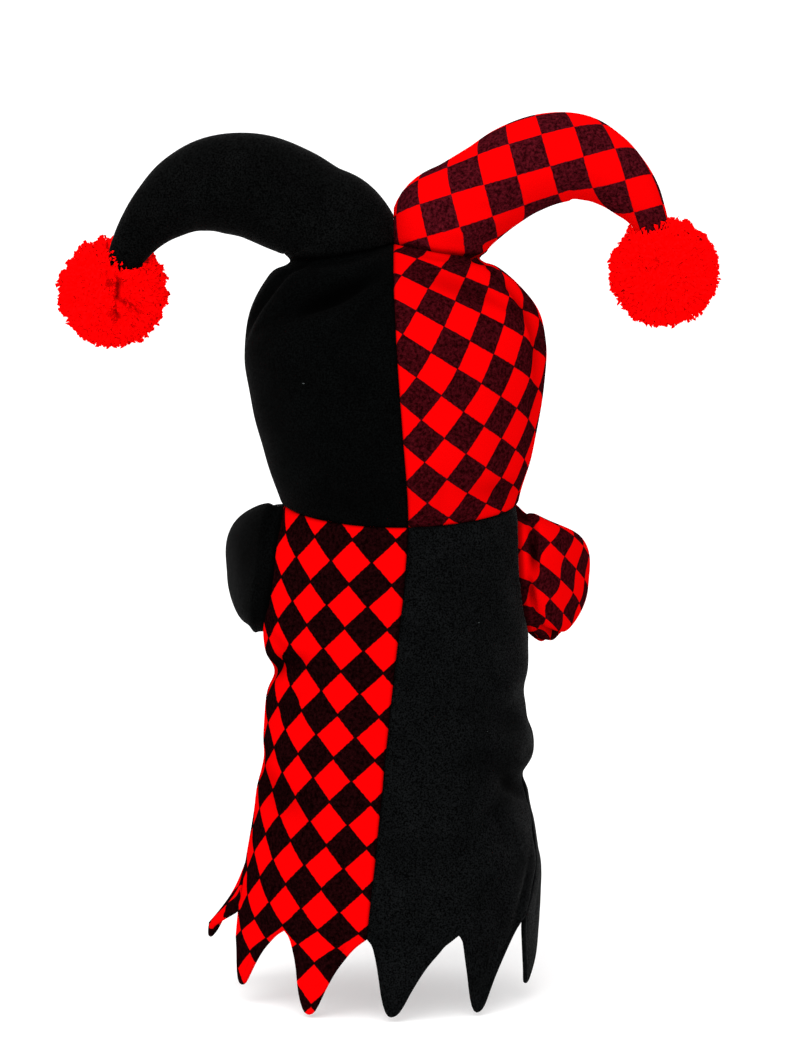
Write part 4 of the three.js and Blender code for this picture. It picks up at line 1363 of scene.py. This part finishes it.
@dataclass
class HoodPanel(Cloth):
    """One half of the hood, from the neck seam to the crown, open at the face."""

    KIND = "hood"
    COLUMN_STEP = 1.6
    FACE_LOW, FACE_HIGH, FACE_TURN = 0.09, 0.67, math.radians(43)
    FACE_ROWS = (FACE_LOW, 0.0925, 0.096, 0.101, 0.659, 0.664, 0.6675, FACE_HIGH)
    FIRST_ROW, ROWS = 0.03, 92
    # up to this turn and share the columns are evenly spaced; beyond, they close in on the face
    EVEN_TURN, EVEN_SHARE = math.radians(104), 0.6
    # on the flat cut: its rise over the crown from this level, and the grain's rise to this way
    CROWN_LEVEL, CROWN_CURVE = 64, 5.2
    GRAIN_RISE, GRAIN_WAY = 14.9, 130

    @classmethod
    def face_turn(cls, rise: np.ndarray) -> np.ndarray:
        """Half the face opening's width at a rise, as a turn in radians."""
        share = np.clip((rise - cls.FACE_LOW) / (cls.FACE_HIGH - cls.FACE_LOW), 0, 1)
        return cls.FACE_TURN * np.sin(math.pi * share) ** 0.55

    def build(self) -> bpy.types.Object:
        """The half hood as a thin shell."""
        side = self.side.value
        rise = self.rises()
        share = spaced(math.pi * MEAN_RADIUS, self.COLUMN_STEP, SEAM_STEPS)[None, :]
        face = np.pi - self.face_turn(rise)[:, None]
        in_back = np.clip(share / self.EVEN_SHARE, 0, 1)
        in_face = np.clip((share - self.EVEN_SHARE) / (1 - self.EVEN_SHARE), 0, 1)
        turn = side * (self.EVEN_TURN * in_back + (face - self.EVEN_TURN) * in_face)
        level = HoodForm.level(rise)[:, None]
        rises = np.broadcast_to(rise[:, None], turn.shape)
        base = HoodForm.smooth(turn, rises)
        creased = hood_dent(turn, rises)
        dent = creased + softness(base, 31 + side) * (1 - rises)
        radius = Ring.read(HOOD_RINGS, rises).half_width
        to_neck = base[..., 2] - base[:1, :, 2]
        open_here = (self.face_turn(rise) > 0.02)[:, None]
        dip = np.maximum(seam_dip(np.abs(turn) * radius), seam_dip(to_neck))
        to_front = seam_dip(np.abs(side * turn - np.pi) * radius)
        dip = np.maximum(dip, np.where(open_here, 0, to_front))
        edge = np.where(open_here, np.abs(face - side * turn) * np.maximum(radius, 20), FAR)
        half = edge_round(edge)
        middle = -dent - CLOTH / 2
        outer = HoodForm.moved(turn, rises, middle + half - dip) + self.shift
        inner = HoodForm.moved(turn, rises, middle - half) + self.shift
        # painted shade in the creases, in the valleys beside the horns and along the seams' rolls
        shade_amount = creased / self.SHADE_FULL_DEPTH + dip / SHADE_FULL_DIP
        piece = self.sewn((outer, inner), self.cut(outer, turn, level), shade_amount)
        return piece

    def rises(self) -> np.ndarray:
        """Rows up the hood, closer together at the neck and round the face opening's ends."""
        near_neck = np.array([0.0, *SEAM_STEPS]) / HOOD_TOP_Z
        main = np.linspace(self.FIRST_ROW, 1, self.ROWS)
        ends = np.array(self.FACE_ROWS)
        main = main[np.abs(main[:, None] - ends).min(axis=1) > 0.002]
        return np.unique(np.round(np.concatenate([near_neck, main, ends]), 6))

    def cut(self, outer: np.ndarray, turn: np.ndarray, level: np.ndarray) -> np.ndarray:
        """Places on the flat cut, whose back edge is curved over the crown.

        Args:
            outer: The cloth's outer face.
            turn: Turns of its points in radians.
            level: Heights of its rows.

        Returns:
            Each point's place.
        """
        around = run_along(outer, 1)
        climb = run_along(outer[:, outer.shape[1] // 8], 0)[:, None]
        # towards the face it follows the turn, so that the check isn't drawn askew at the crown
        forward = smoothstep(np.abs(turn), math.radians(60), math.radians(125))
        around = lerp(around, np.abs(turn) * MEAN_RADIUS, forward)
        over = np.maximum(level - self.CROWN_LEVEL, 0) / 24
        around = around + self.CROWN_CURVE * over**1.4
        # the grain rises towards the side of the head
        risen = 1 - np.cos(math.pi * np.clip(around / self.GRAIN_WAY, 0, 1))
        return np.stack([around * self.side.value, climb - self.GRAIN_RISE * risen], axis=-1)


def horn_grid(side: Side) -> tuple[np.ndarray, np.ndarray]:
    """A horn's surface with the places on its flat cut.

    Args:
        side: Which horn.

    Returns:
        Points and places, rings by points round them.
    """
    rows = np.array(HORNS[side], dtype=float)
    keys = np.arange(len(rows), dtype=float)
    at = np.linspace(0, len(rows) - 1, (len(rows) - 1) * HORN_STEPS + 1)
    centre = np.stack([hermite(keys, rows[:, i], at) for i in range(3)], -1)
    radius = hermite(keys, rows[:, 3], at)
    along = unit(np.gradient(centre, axis=0))
    depth = np.array([0.0, 1.0, 0.0])
    across = unit(np.cross(depth, along))
    # a round nose past the last ring
    nose = np.array([0.2, 0.36, 0.47, 0.5])
    shrink = np.sqrt(np.maximum(1 - (nose / 0.5) ** 2, 0.0004))
    tip = centre[-1] + along[-1] * (nose * rows[-1, 3])[:, None]
    centre = np.concatenate([centre, tip])[:, None, :]
    across = np.concatenate([across, np.repeat(across[-1:], len(nose), axis=0)])[:, None, :]
    radius = np.concatenate([radius, radius[-1] * shrink])[:, None, None]
    turn = np.linspace(0, 2 * math.pi, HORN_AROUND, endpoint=False)
    cos, sin = np.cos(turn)[None, :, None], np.sin(turn)[None, :, None]
    points = centre + across * radius * cos + depth * radius * HORN_FLAT * sin
    points = pinched(eased(points, HORN_STEPS * 5), side)
    # on the flat cut the half round spreads out on both sides of the axis
    spread = np.where(turn <= math.pi, math.pi / 2 - turn, turn - 3 * math.pi / 2)
    places = centre + across * radius * spread[None, :, None]
    return points, places[..., [0, 2]]


def eased(points: np.ndarray, count: int) -> np.ndarray:
    """Rings whose first ones are evened out, so that the inside of a tight bend doesn't cross.

    Args:
        points: Rings by points round them by 3.
        count: How many rings the easing fades over.

    Returns:
        The eased points.
    """
    result = points.copy()
    for _ in range(EASE_ROUNDS):
        middle = (result[:-2] + result[2:]) / 2
        result[1:-1] += (middle - result[1:-1]) * 0.5
    rings = len(points)
    fade = 1 - smoothstep(np.arange(rings), count * 0.6, count)
    step = np.diff(points, axis=0)
    way = np.diff(points.mean(axis=1), axis=0)[:, None, :]
    forward = (step * way).sum(axis=-1) / np.maximum((way * way).sum(axis=-1), 1e-9)
    tight = np.clip(1 - forward.min(axis=0) / 0.5, 0, 1)
    return points + (result - points) * fade[:, None, None] * tight[None, :, None]


def above_hood(points: np.ndarray) -> np.ndarray:
    """About how far points are outside the hood's form, in millimetres."""
    level = np.clip(points[..., 2], 0, HOOD_TOP_Z - 0.5)
    table = np.array(HOOD_RINGS.rows)
    ring = Ring.read(HOOD_RINGS, np.interp(level, table[:, 1], table[:, 0]))
    across = (points[..., 0] - ring.middle) / np.maximum(ring.half_width, 1)
    deep = (points[..., 1] - ring.depth_middle) / np.maximum(ring.half_depth, 1)
    over = np.maximum(points[..., 2] - HOOD_TOP_Z, 0)
    outside = (np.hypot(across, deep) - 1) * np.minimum(ring.half_width, 60) + over
    return np.maximum(outside, 0)


def pinched(points: np.ndarray, side: Side) -> np.ndarray:
    """Rings drawn in where the horn is sewn to the hood, and along its own soft creases.

    Args:
        points: Rings by points round them by 3.
        side: Which horn.

    Returns:
        The points, moved towards the middle of their rings.
    """
    beside = np.abs(points[..., 0] - CROWN_X)
    near = 1 - smoothstep(above_hood(points), 0, DRAWN_TO)
    draw = DRAWN_IN * near**1.5 * smoothstep(beside, 0, 8)
    middle = points.mean(axis=1, keepdims=True)
    away = points - middle
    length = np.maximum(np.linalg.norm(away, axis=-1, keepdims=True), 1e-6)
    angle = np.degrees(np.arctan2(-away[..., 1], away[..., 2]))
    run = run_along(middle, 0)
    for at, turn, reach, slope, depth, width in HORN_CREASES[side]:
        radius = np.minimum(length[..., 0], 24)
        round_it = ((angle - turn + 180) % 360 - 180) * math.pi / 180 * radius
        lean = math.radians(slope)
        one = (run - at) * math.cos(lean) + round_it * math.sin(lean)
        two = -(run - at) * math.sin(lean) + round_it * math.cos(lean)
        draw = draw + depth * np.exp(-((one / reach) ** 2) - (two / width) ** 2)
    return points - away / length * draw[..., None]


@dataclass
class Horn(Piece):
    """One stuffed horn, sewn to the hood along its base."""

    slot: str

    KIND = "horn"
    SHARP, PRESSED_TO = math.radians(48), 5.5  # its seam's edge, and how far from the seam its painted shade reaches

    def build(self) -> bpy.types.Object:
        """The horn as a closed padded form, cut to the hood."""
        points, places = horn_grid(self.side)
        index, faces = tube_faces(*points.shape[:2])
        ends = np.stack([points[0].mean(axis=0), points[-1].mean(axis=0)])
        for ring, end in ((index[0][::-1], index.size), (index[-1], index.size + 1)):
            faces += [[int(a), int(b), end] for a, b in zip(ring, np.roll(ring, -1))]
        piece = mesh_object(
            self.node + "_cloth", np.concatenate([points.reshape(-1, 3), ends]), faces
        )
        corners = np.empty(len(piece.data.loops), dtype=np.int32)
        piece.data.loops.foreach_get("vertex_index", corners)
        spots = np.concatenate([places.reshape(-1, 2), ends[:, [0, 2]]])
        dressed(piece.data, self.material, spots[corners])
        outward(piece)
        cut_by(piece, self.half_space())
        cut_by(piece, self.hood_block(), crossing=True)
        piece.data.set_sharp_from_angle(angle=self.SHARP)
        self.paint_seam_shade(piece.data)
        handed_over(piece, self.node)
        return piece

    def paint_seam_shade(self, mesh: bpy.types.Mesh) -> None:
        """Paints shade on the horn towards its seam with the hood, where it lies in the valley."""
        spots = np.empty(len(mesh.vertices) * 3)
        mesh.vertices.foreach_get("co", spots)
        far = np.minimum(above_hood(spots.reshape(-1, 3) / MM), 40)
        paint_shade(mesh, np.exp(-((far / self.PRESSED_TO) ** 2)))

    def half_space(self) -> bpy.types.Object:
        """The block beyond the centre seam, which keeps the horns apart."""
        side = self.side.value
        beyond = sorted((CROWN_X + side * HALF_GAP, CROWN_X - side * 60))
        corners = [(x, y, z) for x in beyond for y in (-60, 60) for z in (50, 220)]
        faces = [(0, 1, 3, 2), (4, 6, 7, 5), (0, 4, 5, 1), (2, 3, 7, 6), (0, 2, 6, 4), (1, 5, 7, 3)]
        return outward(mesh_object("beyond", corners, faces))

    def hood_block(self) -> bpy.types.Object:
        """The hood's form as a filled block, with the gap of the seam."""
        rise = np.linspace(0.5, 0.995, 60)
        turn = np.linspace(-math.pi, math.pi, 120, endpoint=False)
        turns, rises = np.meshgrid(turn, rise)
        points = HoodForm.moved(turns, rises, SEAM_GAP - hood_dent(turns, rises))
        index, faces = tube_faces(*points.shape[:2])
        faces += [index[0][::-1].tolist(), index[-1].tolist()]
        return outward(mesh_object("hood_block", points.reshape(-1, 3), faces))


def outward(piece: bpy.types.Object) -> bpy.types.Object:
    """The piece, a closed mesh, with its faces turned outward."""
    work = bmesh.new()
    work.from_mesh(piece.data)
    bmesh.ops.recalc_face_normals(work, faces=work.faces)
    if work.calc_volume(signed=True) < 0:
        bmesh.ops.reverse_faces(work, faces=work.faces)
    work.to_mesh(piece.data)
    work.free()
    return piece


@dataclass
class Sleeve(Cloth):
    """One short sleeve, puffed at its rear and open at the cuff."""

    shape: SleeveShape

    KIND = "sleeve"
    LENGTH, ROW_STEP, ROWS_AT_ENDS, COLUMNS = 62.0, 0.9, (0.25, 0.6, 1.0, 1.6), 180
    INSET = 0.3  # how far inside the armhole's edge it is sewn
    TUCK_DOWN, TUCK_IN = 1.3, 1.8  # how its seam allowance lies under the armhole's edge
    CUT_RADIUS, CUT_FORWARD = 27.0, 0.65
    CUFF_LINE, CUFF_SOFT, CUFF_GROOVE = 5, 0.6, 0.3  # where the turned cuff is sewn
    SEAM_WALL = 0.3  # how thin the cloth is where it is tucked under

    def rim(self, turn: np.ndarray) -> tuple[np.ndarray, np.ndarray]:
        """Where the armhole's edge meets the body's outer surface.

        Args:
            turn: Turns round the armhole in radians, from its rear.

        Returns:
            The points, and the way outward there.
        """
        side = self.side.value
        y = ARMHOLE_Y - (ARMHOLE_DEPTH - self.INSET) * np.cos(turn)
        wanted = ARMHOLE_Z + (ARMHOLE_HEIGHT - self.INSET) * np.sin(turn)

        def ring_turn(z: np.ndarray) -> np.ndarray:
            """Turn at which the body's ring has this depth."""
            ring = Ring.read(BODY_RINGS, z)
            return np.arccos(np.clip((ring.depth_middle - y) / ring.half_depth, -1, 1))

        z = np.minimum(wanted, neck_z(ring_turn(wanted)) - HALF_GAP - self.INSET)
        ring = Ring.read(BODY_RINGS, z)
        turned = ring_turn(z)
        x = ring.middle + side * ring.half_width * np.sin(turned)
        away = np.stack([
            side * np.sin(turned) / ring.half_width, -np.cos(turned) / ring.half_depth, 0 * x
        ], axis=-1)
        return np.stack([x, y, z], axis=-1), unit(away)

    def surface(self, turn: np.ndarray, along: np.ndarray) -> np.ndarray:
        """Outer surface points.

        Args:
            turn: Turns round it in radians, from the rear.
            along: Shares of its length, to the cuff.

        Returns:
            The points.
        """
        side, shape = self.side.value, self.shape
        cuff = np.array(shape.cuff, dtype=float)
        faces = np.array(shape.faces) / np.linalg.norm(shape.faces)
        sideways = unit(np.cross([0, 0, 1], faces))
        sideways *= np.sign(sideways[0] * side)
        upward = np.cross(faces, sideways)
        upward *= np.sign(upward[2])
        start, away = self.rim(turn)
        start[..., 0] -= side * CLOTH * 0.5
        cos, sin = np.cos(turn), np.sin(turn)
        end = cuff + sideways * (shape.half_width * cos)[..., None]
        end = end + upward * (shape.half_height * sin)[..., None]
        rear = (1 + cos) / 2
        straight = lerp(shape.leaves[1], shape.leaves[0], rear)
        lift = shape.lift * np.maximum(sin, 0)
        leave = np.stack([side * straight, np.zeros_like(rear), lift], axis=-1)
        arrive = faces * (shape.arrives * lerp(0.55, 1, rear))[..., None]
        t, t2, t3 = along[..., None], along[..., None] ** 2, along[..., None] ** 3
        at = start * (2 * t3 - 3 * t2 + 1) + leave * (t3 - 2 * t2 + t)
        at = at + end * (3 * t2 - 2 * t3) + arrive * (t3 - t2)
        rear_puff, top_puff, front_puff, low_puff = shape.puff
        puff = np.where(cos > 0, rear_puff, front_puff) * cos**2
        puff = puff + np.where(sin > 0, top_puff, low_puff) * sin**2
        corner = np.where(sin > 0, shape.corners[0], shape.corners[1])
        corner = np.where(cos > 0, np.sin(2 * turn) ** 2 * corner, 0)
        swell = (puff + corner) * smoothstep(along, 0, 0.25) * np.sin(math.pi * along)
        way = unit(at - self.axis(along))
        # its first millimetres are the seam allowance, tucked under the armhole's edge
        round_hole = start - np.array([0.0, ARMHOLE_Y, ARMHOLE_Z])
        round_hole[..., 0] = 0
        tucked = (1 - smoothstep(along, 0, 0.042))[..., None]
        at = at + (unit(round_hole) * self.TUCK_DOWN - away * self.TUCK_IN) * tucked
        sagged = np.array([0.0, 0.0, -shape.sag]) * (np.sin(math.pi * along) ** 2)[..., None]
        return at + sagged + way * (swell - self.creased(turn, along))[..., None]

    def axis(self, along: np.ndarray) -> np.ndarray:
        """Points of its middle line at shares of its length."""
        hole = np.array([self.side.value * MEAN_RADIUS, ARMHOLE_Y, ARMHOLE_Z])
        return hole + (np.array(self.shape.cuff) - hole) * along[..., None]

    def creased(self, turn: np.ndarray, along: np.ndarray) -> np.ndarray:
        """How deep the sleeve's creases are.

        Args:
            turn: Turns in radians.
            along: Shares of its length.

        Returns:
            The depths.
        """
        dent = np.zeros_like(turn)
        for around, place, depth, spread, reach in SLEEVE_CREASES[self.side]:
            past = turn - math.radians(around) + math.pi
            off = (np.mod(past, 2 * math.pi) - math.pi) / math.radians(spread)
            dent += depth * np.exp(-(off**2) - ((along - place) / reach) ** 2)
        return dent * smoothstep(along, 0, 0.08)

    def build(self) -> bpy.types.Object:
        """The sleeve as a thin shell."""
        along_row = spaced(self.LENGTH, self.ROW_STEP, self.ROWS_AT_ENDS)
        turns = UNDER_SEAM + np.linspace(0, 2 * math.pi, self.COLUMNS, endpoint=False)
        turn, along = np.meshgrid(turns, along_row)
        at = self.surface(turn, along)
        wrapped = np.concatenate([at[:, -1:], at, at[:, :1]], axis=1)
        down, across = np.gradient(wrapped, axis=(0, 1))
        normal = unit(np.cross(across, down))[:, 1:-1]
        facing = np.sign((normal * (at - self.axis(along))).sum(axis=-1))
        normal = normal * (1 if facing.mean() > 0 else -1)
        from_cuff = (1 - along) * self.LENGTH
        half = edge_round(from_cuff)
        off_line = (from_cuff - self.CUFF_LINE) / self.CUFF_SOFT
        groove = self.CUFF_GROOVE * np.exp(-(off_line**2))
        wall = 2 * half * lerp(self.SEAM_WALL, 1, smoothstep(along, 0.03, 0.09))
        outer = at + normal * (-CLOTH / 2 + half - groove)[..., None]
        inner = at + normal * (-CLOTH / 2 + half - wall)[..., None]
        # painted shade in the creases, full where the sleeve is sewn into the armhole
        seam = 1 - smoothstep(along, 0.02, 0.07)
        shade_amount = self.creased(turn, along) / self.SHADE_FULL_DEPTH + seam
        piece = self.sewn((outer, inner), self.cut(outer, turns), shade_amount, wraps=True)
        return piece

    def cut(self, outer: np.ndarray, turns: np.ndarray) -> np.ndarray:
        """Places on the flat cut: along the sleeve, and round it from its rear.

        Args:
            outer: The cloth's outer face.
            turns: Turns of its columns in radians.

        Returns:
            Each point's place, with one column more, which closes it.
        """
        closed = np.concatenate([outer, outer[:, :1]], axis=1)
        around = run_along(closed, 1)
        rear = int(round((2 * math.pi - UNDER_SEAM) / (2 * math.pi) * outer.shape[1]))
        around = around - around[:, rear : rear + 1]
        turn = np.append(turns, turns[0] + 2 * math.pi) - 2 * math.pi
        forward = smoothstep(np.abs(turn), math.radians(70), math.radians(130))
        around = lerp(around, turn * self.CUT_RADIUS, self.CUT_FORWARD * forward)
        return np.stack([run_along(closed, 0), around], axis=-1)


@dataclass
class Pompom(Piece):
    """A ball of cut yarn on a horn's tip."""

    KIND = "pompom"

    strands: int = 3000
    core: float = 18.5

    THICKNESS = 0.62
    SEEDS = {Side.LEFT: 5, Side.RIGHT: 9}
    LEAST, MOST = (0.8, 0.8, 0.88), (1.25, 1.25, 1.05)  # how a strand's scale varies
    BEND, BEND_SCALE = 11 * MM, 190.0
    PARTED = -1.15  # how much a parting takes from the strands' density

    def build(self) -> bpy.types.Object:
        """The pompom, grown from a core by Geometry Nodes and applied."""
        piece = mesh_object(self.node + "_yarn", [], [])
        work = bmesh.new()
        bmesh.ops.create_icosphere(work, subdivisions=5, radius=self.core * MM)
        work.to_mesh(piece.data)
        work.free()
        # the partings thin the strands, and the yarn there takes painted shade
        paint_shade(piece.data, self.parted(np.array([v.co for v in piece.data.vertices])))
        graph = Grower(self.node + "_strands", self.material, {
            "Strands": self.strands, "Length": (POMPOM_RADIUS - self.core) * MM,
            "Thickness": self.THICKNESS * MM, "Seed": self.SEEDS[self.side],
        })
        graph.apply(piece, self.grown(graph))
        piece.data.transform(Matrix.Translation(Vector(POMPOMS[self.side]) * MM))
        return handed_over(piece, self.node)

    def parted(self, places: np.ndarray) -> np.ndarray:
        """How far the yarn parts.

        Args:
            places: Places on its core.

        Returns:
            From 0 to 1 at each.
        """
        way = unit(places)
        most = np.zeros(len(places))
        for start, end, width, depth in CLEFTS[self.side]:
            a, b = unit(np.array([start, end], dtype=float))
            share = np.clip(((way - a) @ (b - a)) / ((b - a) @ (b - a)), 0, 1)
            off = np.linalg.norm(way - a - share[:, None] * (b - a), axis=-1) * self.core
            most = np.maximum(most, depth * np.exp(-((off / width) ** 2)))
        return most

    def grown(self, graph: Grower) -> bpy.types.NodeSocket:
        """The core with strands rooted all over it, each bent its own way.

        Args:
            graph: The tree that grows them.

        Returns:
            The geometry of both.
        """
        node, given = graph.node, graph.given
        density = graph.math("DIVIDE", given["Strands"], 4 * math.pi * (self.core * MM) ** 2)
        fold = node("GeometryNodeInputNamedAttribute", {"Name": "fold"}).outputs["Attribute"]
        full = graph.math("MULTIPLY_ADD", fold, self.PARTED, 1.0)
        spots = node("GeometryNodeDistributePointsOnFaces", {
            "Mesh": given["Geometry"], "Density": graph.math("MULTIPLY", density, full),
            "Seed": given["Seed"],
        }).outputs
        line = node("GeometryNodeCurvePrimitiveLine", {"End": (0, 0, 1)}).outputs["Curve"]
        steps = node("GeometryNodeResampleCurve", {"Curve": line, "Count": 6}).outputs["Curve"]
        inputs = {"Resolution": 3, "Radius": given["Thickness"]}
        ring = node("GeometryNodeCurvePrimitiveCircle", inputs).outputs["Curve"]
        inputs = {"X": 1, "Y": 1, "Z": given["Length"]}
        size = node("ShaderNodeCombineXYZ", inputs).outputs["Vector"]
        long = node("GeometryNodeTransform", {"Geometry": steps, "Scale": size}).outputs["Geometry"]
        inputs = {"Curve": long, "Profile Curve": ring, "Fill Caps": True}
        tube = node("GeometryNodeCurveToMesh", inputs).outputs["Mesh"]
        vary = node("FunctionNodeRandomValue", data_type="FLOAT_VECTOR")
        graph.feed(vary, {"Min": self.LEAST, "Max": self.MOST, "Seed": given["Seed"]})
        real = graph.placed(spots, tube, vary.outputs["Value"])
        where = node("GeometryNodeInputPosition").outputs["Position"]
        inputs = {"Vector": where, "Scale": self.BEND_SCALE, "Detail": 3.0}
        wave = node("ShaderNodeTexNoise", inputs).outputs["Color"]
        inputs = {0: wave, 1: (0.5, 0.5, 0.5)}
        centred = node("ShaderNodeVectorMath", inputs, operation="SUBTRACT").outputs[0]
        reach = node("ShaderNodeVectorMath", {0: where}, operation="LENGTH").outputs["Value"]
        grow = graph.ranged(reach, self.core * MM, POMPOM_RADIUS * MM, (0.0, self.BEND))
        inputs = {"Geometry": real, "Offset": graph.scaled(centred, grow)}
        bent = node("GeometryNodeSetPosition", inputs).outputs["Geometry"]
        inputs = {"Geometry": [given["Geometry"], bent]}
        return node("GeometryNodeJoinGeometry", inputs).outputs["Geometry"]


@dataclass
class Studio:
    """A plain pale floor under soft light, seen from the wearer's back."""

    distance: float = 2.5
    elevation: float = 8.0
    lens: float = 181.5
    lower: float = 6.35 * MM

    FLOOR_SIZE, FLOOR_GAP = 30000.0, 0.4
    FLOOR_TONE, FLOOR_GLOW = 0.62, 0.42
    SKY, SUN, SUN_SPREAD, SUN_FROM = 0.95, 2.5, math.radians(60), (-0.35, -1.0, 1.15)

    def build(self) -> None:
        """The floor, the lights and the camera."""
        self.floor()
        self.lights()
        self.camera()

    def floor(self) -> None:
        """The floor just under the lowest point: lit, so that it takes only a faint shadow."""
        size, z = self.FLOOR_SIZE, FLOOR_Z - self.FLOOR_GAP
        corners = [(-size, -size, z), (size, -size, z), (size, size, z), (-size, size, z)]
        floor = mesh_object("floor", corners, [(0, 1, 2, 3)])
        material = bpy.data.materials.new("floor")
        material.use_nodes = True
        tree = material.node_tree
        Graph(tree).feed(tree.nodes["Principled BSDF"], {
            "Base Color": (*[self.FLOOR_TONE] * 3, 1), "Roughness": 0.9,
            "Specular IOR Level": 0.1, "Emission Color": (1, 1, 1, 1),
            "Emission Strength": self.FLOOR_GLOW,
        })
        floor.data.materials.append(material)

    def lights(self) -> None:
        """A broad soft key above the camera and a pale sky."""
        world = bpy.data.worlds.new("sky")
        bpy.context.scene.world = world
        world.use_nodes = True
        sky = world.node_tree.nodes["Background"]
        sky.inputs["Color"].default_value = (1, 1, 1, 1)
        sky.inputs["Strength"].default_value = self.SKY
        data = bpy.data.lights.new("key", "SUN")
        data.energy, data.angle = self.SUN, self.SUN_SPREAD
        lamp = bpy.data.objects.new("key", data)
        towards = Vector(self.SUN_FROM)
        lamp.location = towards
        lamp.rotation_euler = (-towards).to_track_quat("-Z", "Y").to_euler()
        bpy.context.collection.objects.link(lamp)

    def camera(self) -> None:
        """The camera, level with the costume's middle and a little above it."""
        tilt = math.radians(self.elevation)
        back = Vector((0, -math.cos(tilt), math.sin(tilt)))
        up = Vector((0, math.sin(tilt), math.cos(tilt)))
        aim = up * -self.lower
        data = bpy.data.cameras.new("camera")
        data.lens = self.lens
        data.sensor_width = 36.0
        data.dof.use_dof = False
        data.clip_end = 100.0
        camera = bpy.data.objects.new("camera", data)
        camera.location = aim + back * self.distance
        camera.rotation_euler = (-back).to_track_quat("-Z", "Y").to_euler()
        bpy.context.collection.objects.link(camera)
        bpy.context.scene.camera = camera
        bpy.context.scene.view_settings.view_transform = "Standard"


class Costume:
    """The whole costume, built piece by piece."""

    def __init__(self) -> None:
        """Makes the finishes."""
        self.black = Fleece("black_fleece", (0.0016, 0.0018, 0.0019), lint=0.35).make()
        # darker copies of the same black fleece: one for the horn, and one with less sheen for the
        # hood and the left sleeve
        self.horn_black = Fleece("black_fleece_horn", (0.0011, 0.0012, 0.0012), lint=0.2).make()
        self.thread = Yarn("black_thread", (0.004, 0.004, 0.004), 0.0).make()
        self.red_thread = Yarn("red_thread", (0.06, 0.0006, 0.0008), 0.0).make()
        self.hood_black = Fleece(
            "black_fleece_hood", (0.0005, 0.0006, 0.0006), Nap(sheen=0.007), lint=0.45
        ).make()
        self.yarn = Yarn("red_yarn", (1.0, 0.001, 0.0015)).make()
        self.body_check = Check(
            "check_body", (20.3, 20.27), -5.4, (-18.48, -24.11), 0.93,
            dark=(0.0068, 0.0009, 0.0012), shear=-0.095,
        ).make()
        self.hood_check = Check("check_hood", (20.3, 19.9), 0.0, (9.6, 22.9), 0.97).make()
        self.horn_check = Check(
            "check_horn", (22.5, 22.5), 60.5, (37.5, 131.25), 1.0, dark=(0.045, 0.0025, 0.005)
        ).make()
        self.sleeve_check = Check("check_sleeve", (21.0, 16.8), 20.0, (-0.6, -10.2), 0.98).make()

    def build(self) -> None:
        """Every piece, from the hood down."""
        left, right = Side.LEFT, Side.RIGHT
        hood = SheetFacts((0.216, 0.195), 0.0217)
        back = SheetFacts((0.112, 0.234), 0.0191)
        left_front = SheetFacts((0.147, 0.210), 0.0173)
        right_front = SheetFacts((0.137, 0.227), 0.0175)
        left_sleeve = SheetFacts((0.175, 0.087), 0.0085)
        right_sleeve = SheetFacts((0.175, 0.093), 0.0091)
        black, red = "black_fleece", "red_check"
        makers = (
            HoodPanel(left, self.hood_black, black, hood),
            HoodPanel(right, self.hood_check, red, hood),
            Horn(left, self.horn_black, black),
            Horn(right, self.horn_check, red),
            Pompom(left, self.yarn),
            Pompom(right, self.yarn),
            BodyPanel(left, self.body_check, red, back, False, self.red_thread),
            BodyPanel(right, self.black, black, back, False, self.thread),
            BodyPanel(left, self.body_check, red, left_front, True, self.red_thread),
            BodyPanel(right, self.black, black, right_front, True, self.thread),
            Sleeve(left, self.hood_black, black, left_sleeve, SLEEVES[left]),
            Sleeve(right, self.sleeve_check, red, right_sleeve, SLEEVES[right]),
        )
        for maker in makers:
            piece = maker.build()
            count = sum(len(p.vertices) - 2 for p in piece.data.polygons)
            LOG.info("%s: %d triangles", piece.name, count)


def main() -> None:
    """Builds the costume in the frame."""
    logging.basicConfig(level=logging.INFO, format="%(name)s: %(message)s", stream=sys.stdout)
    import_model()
    Costume().build()
    Studio().build()
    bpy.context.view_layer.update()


if __name__ == "__main__":
    main()
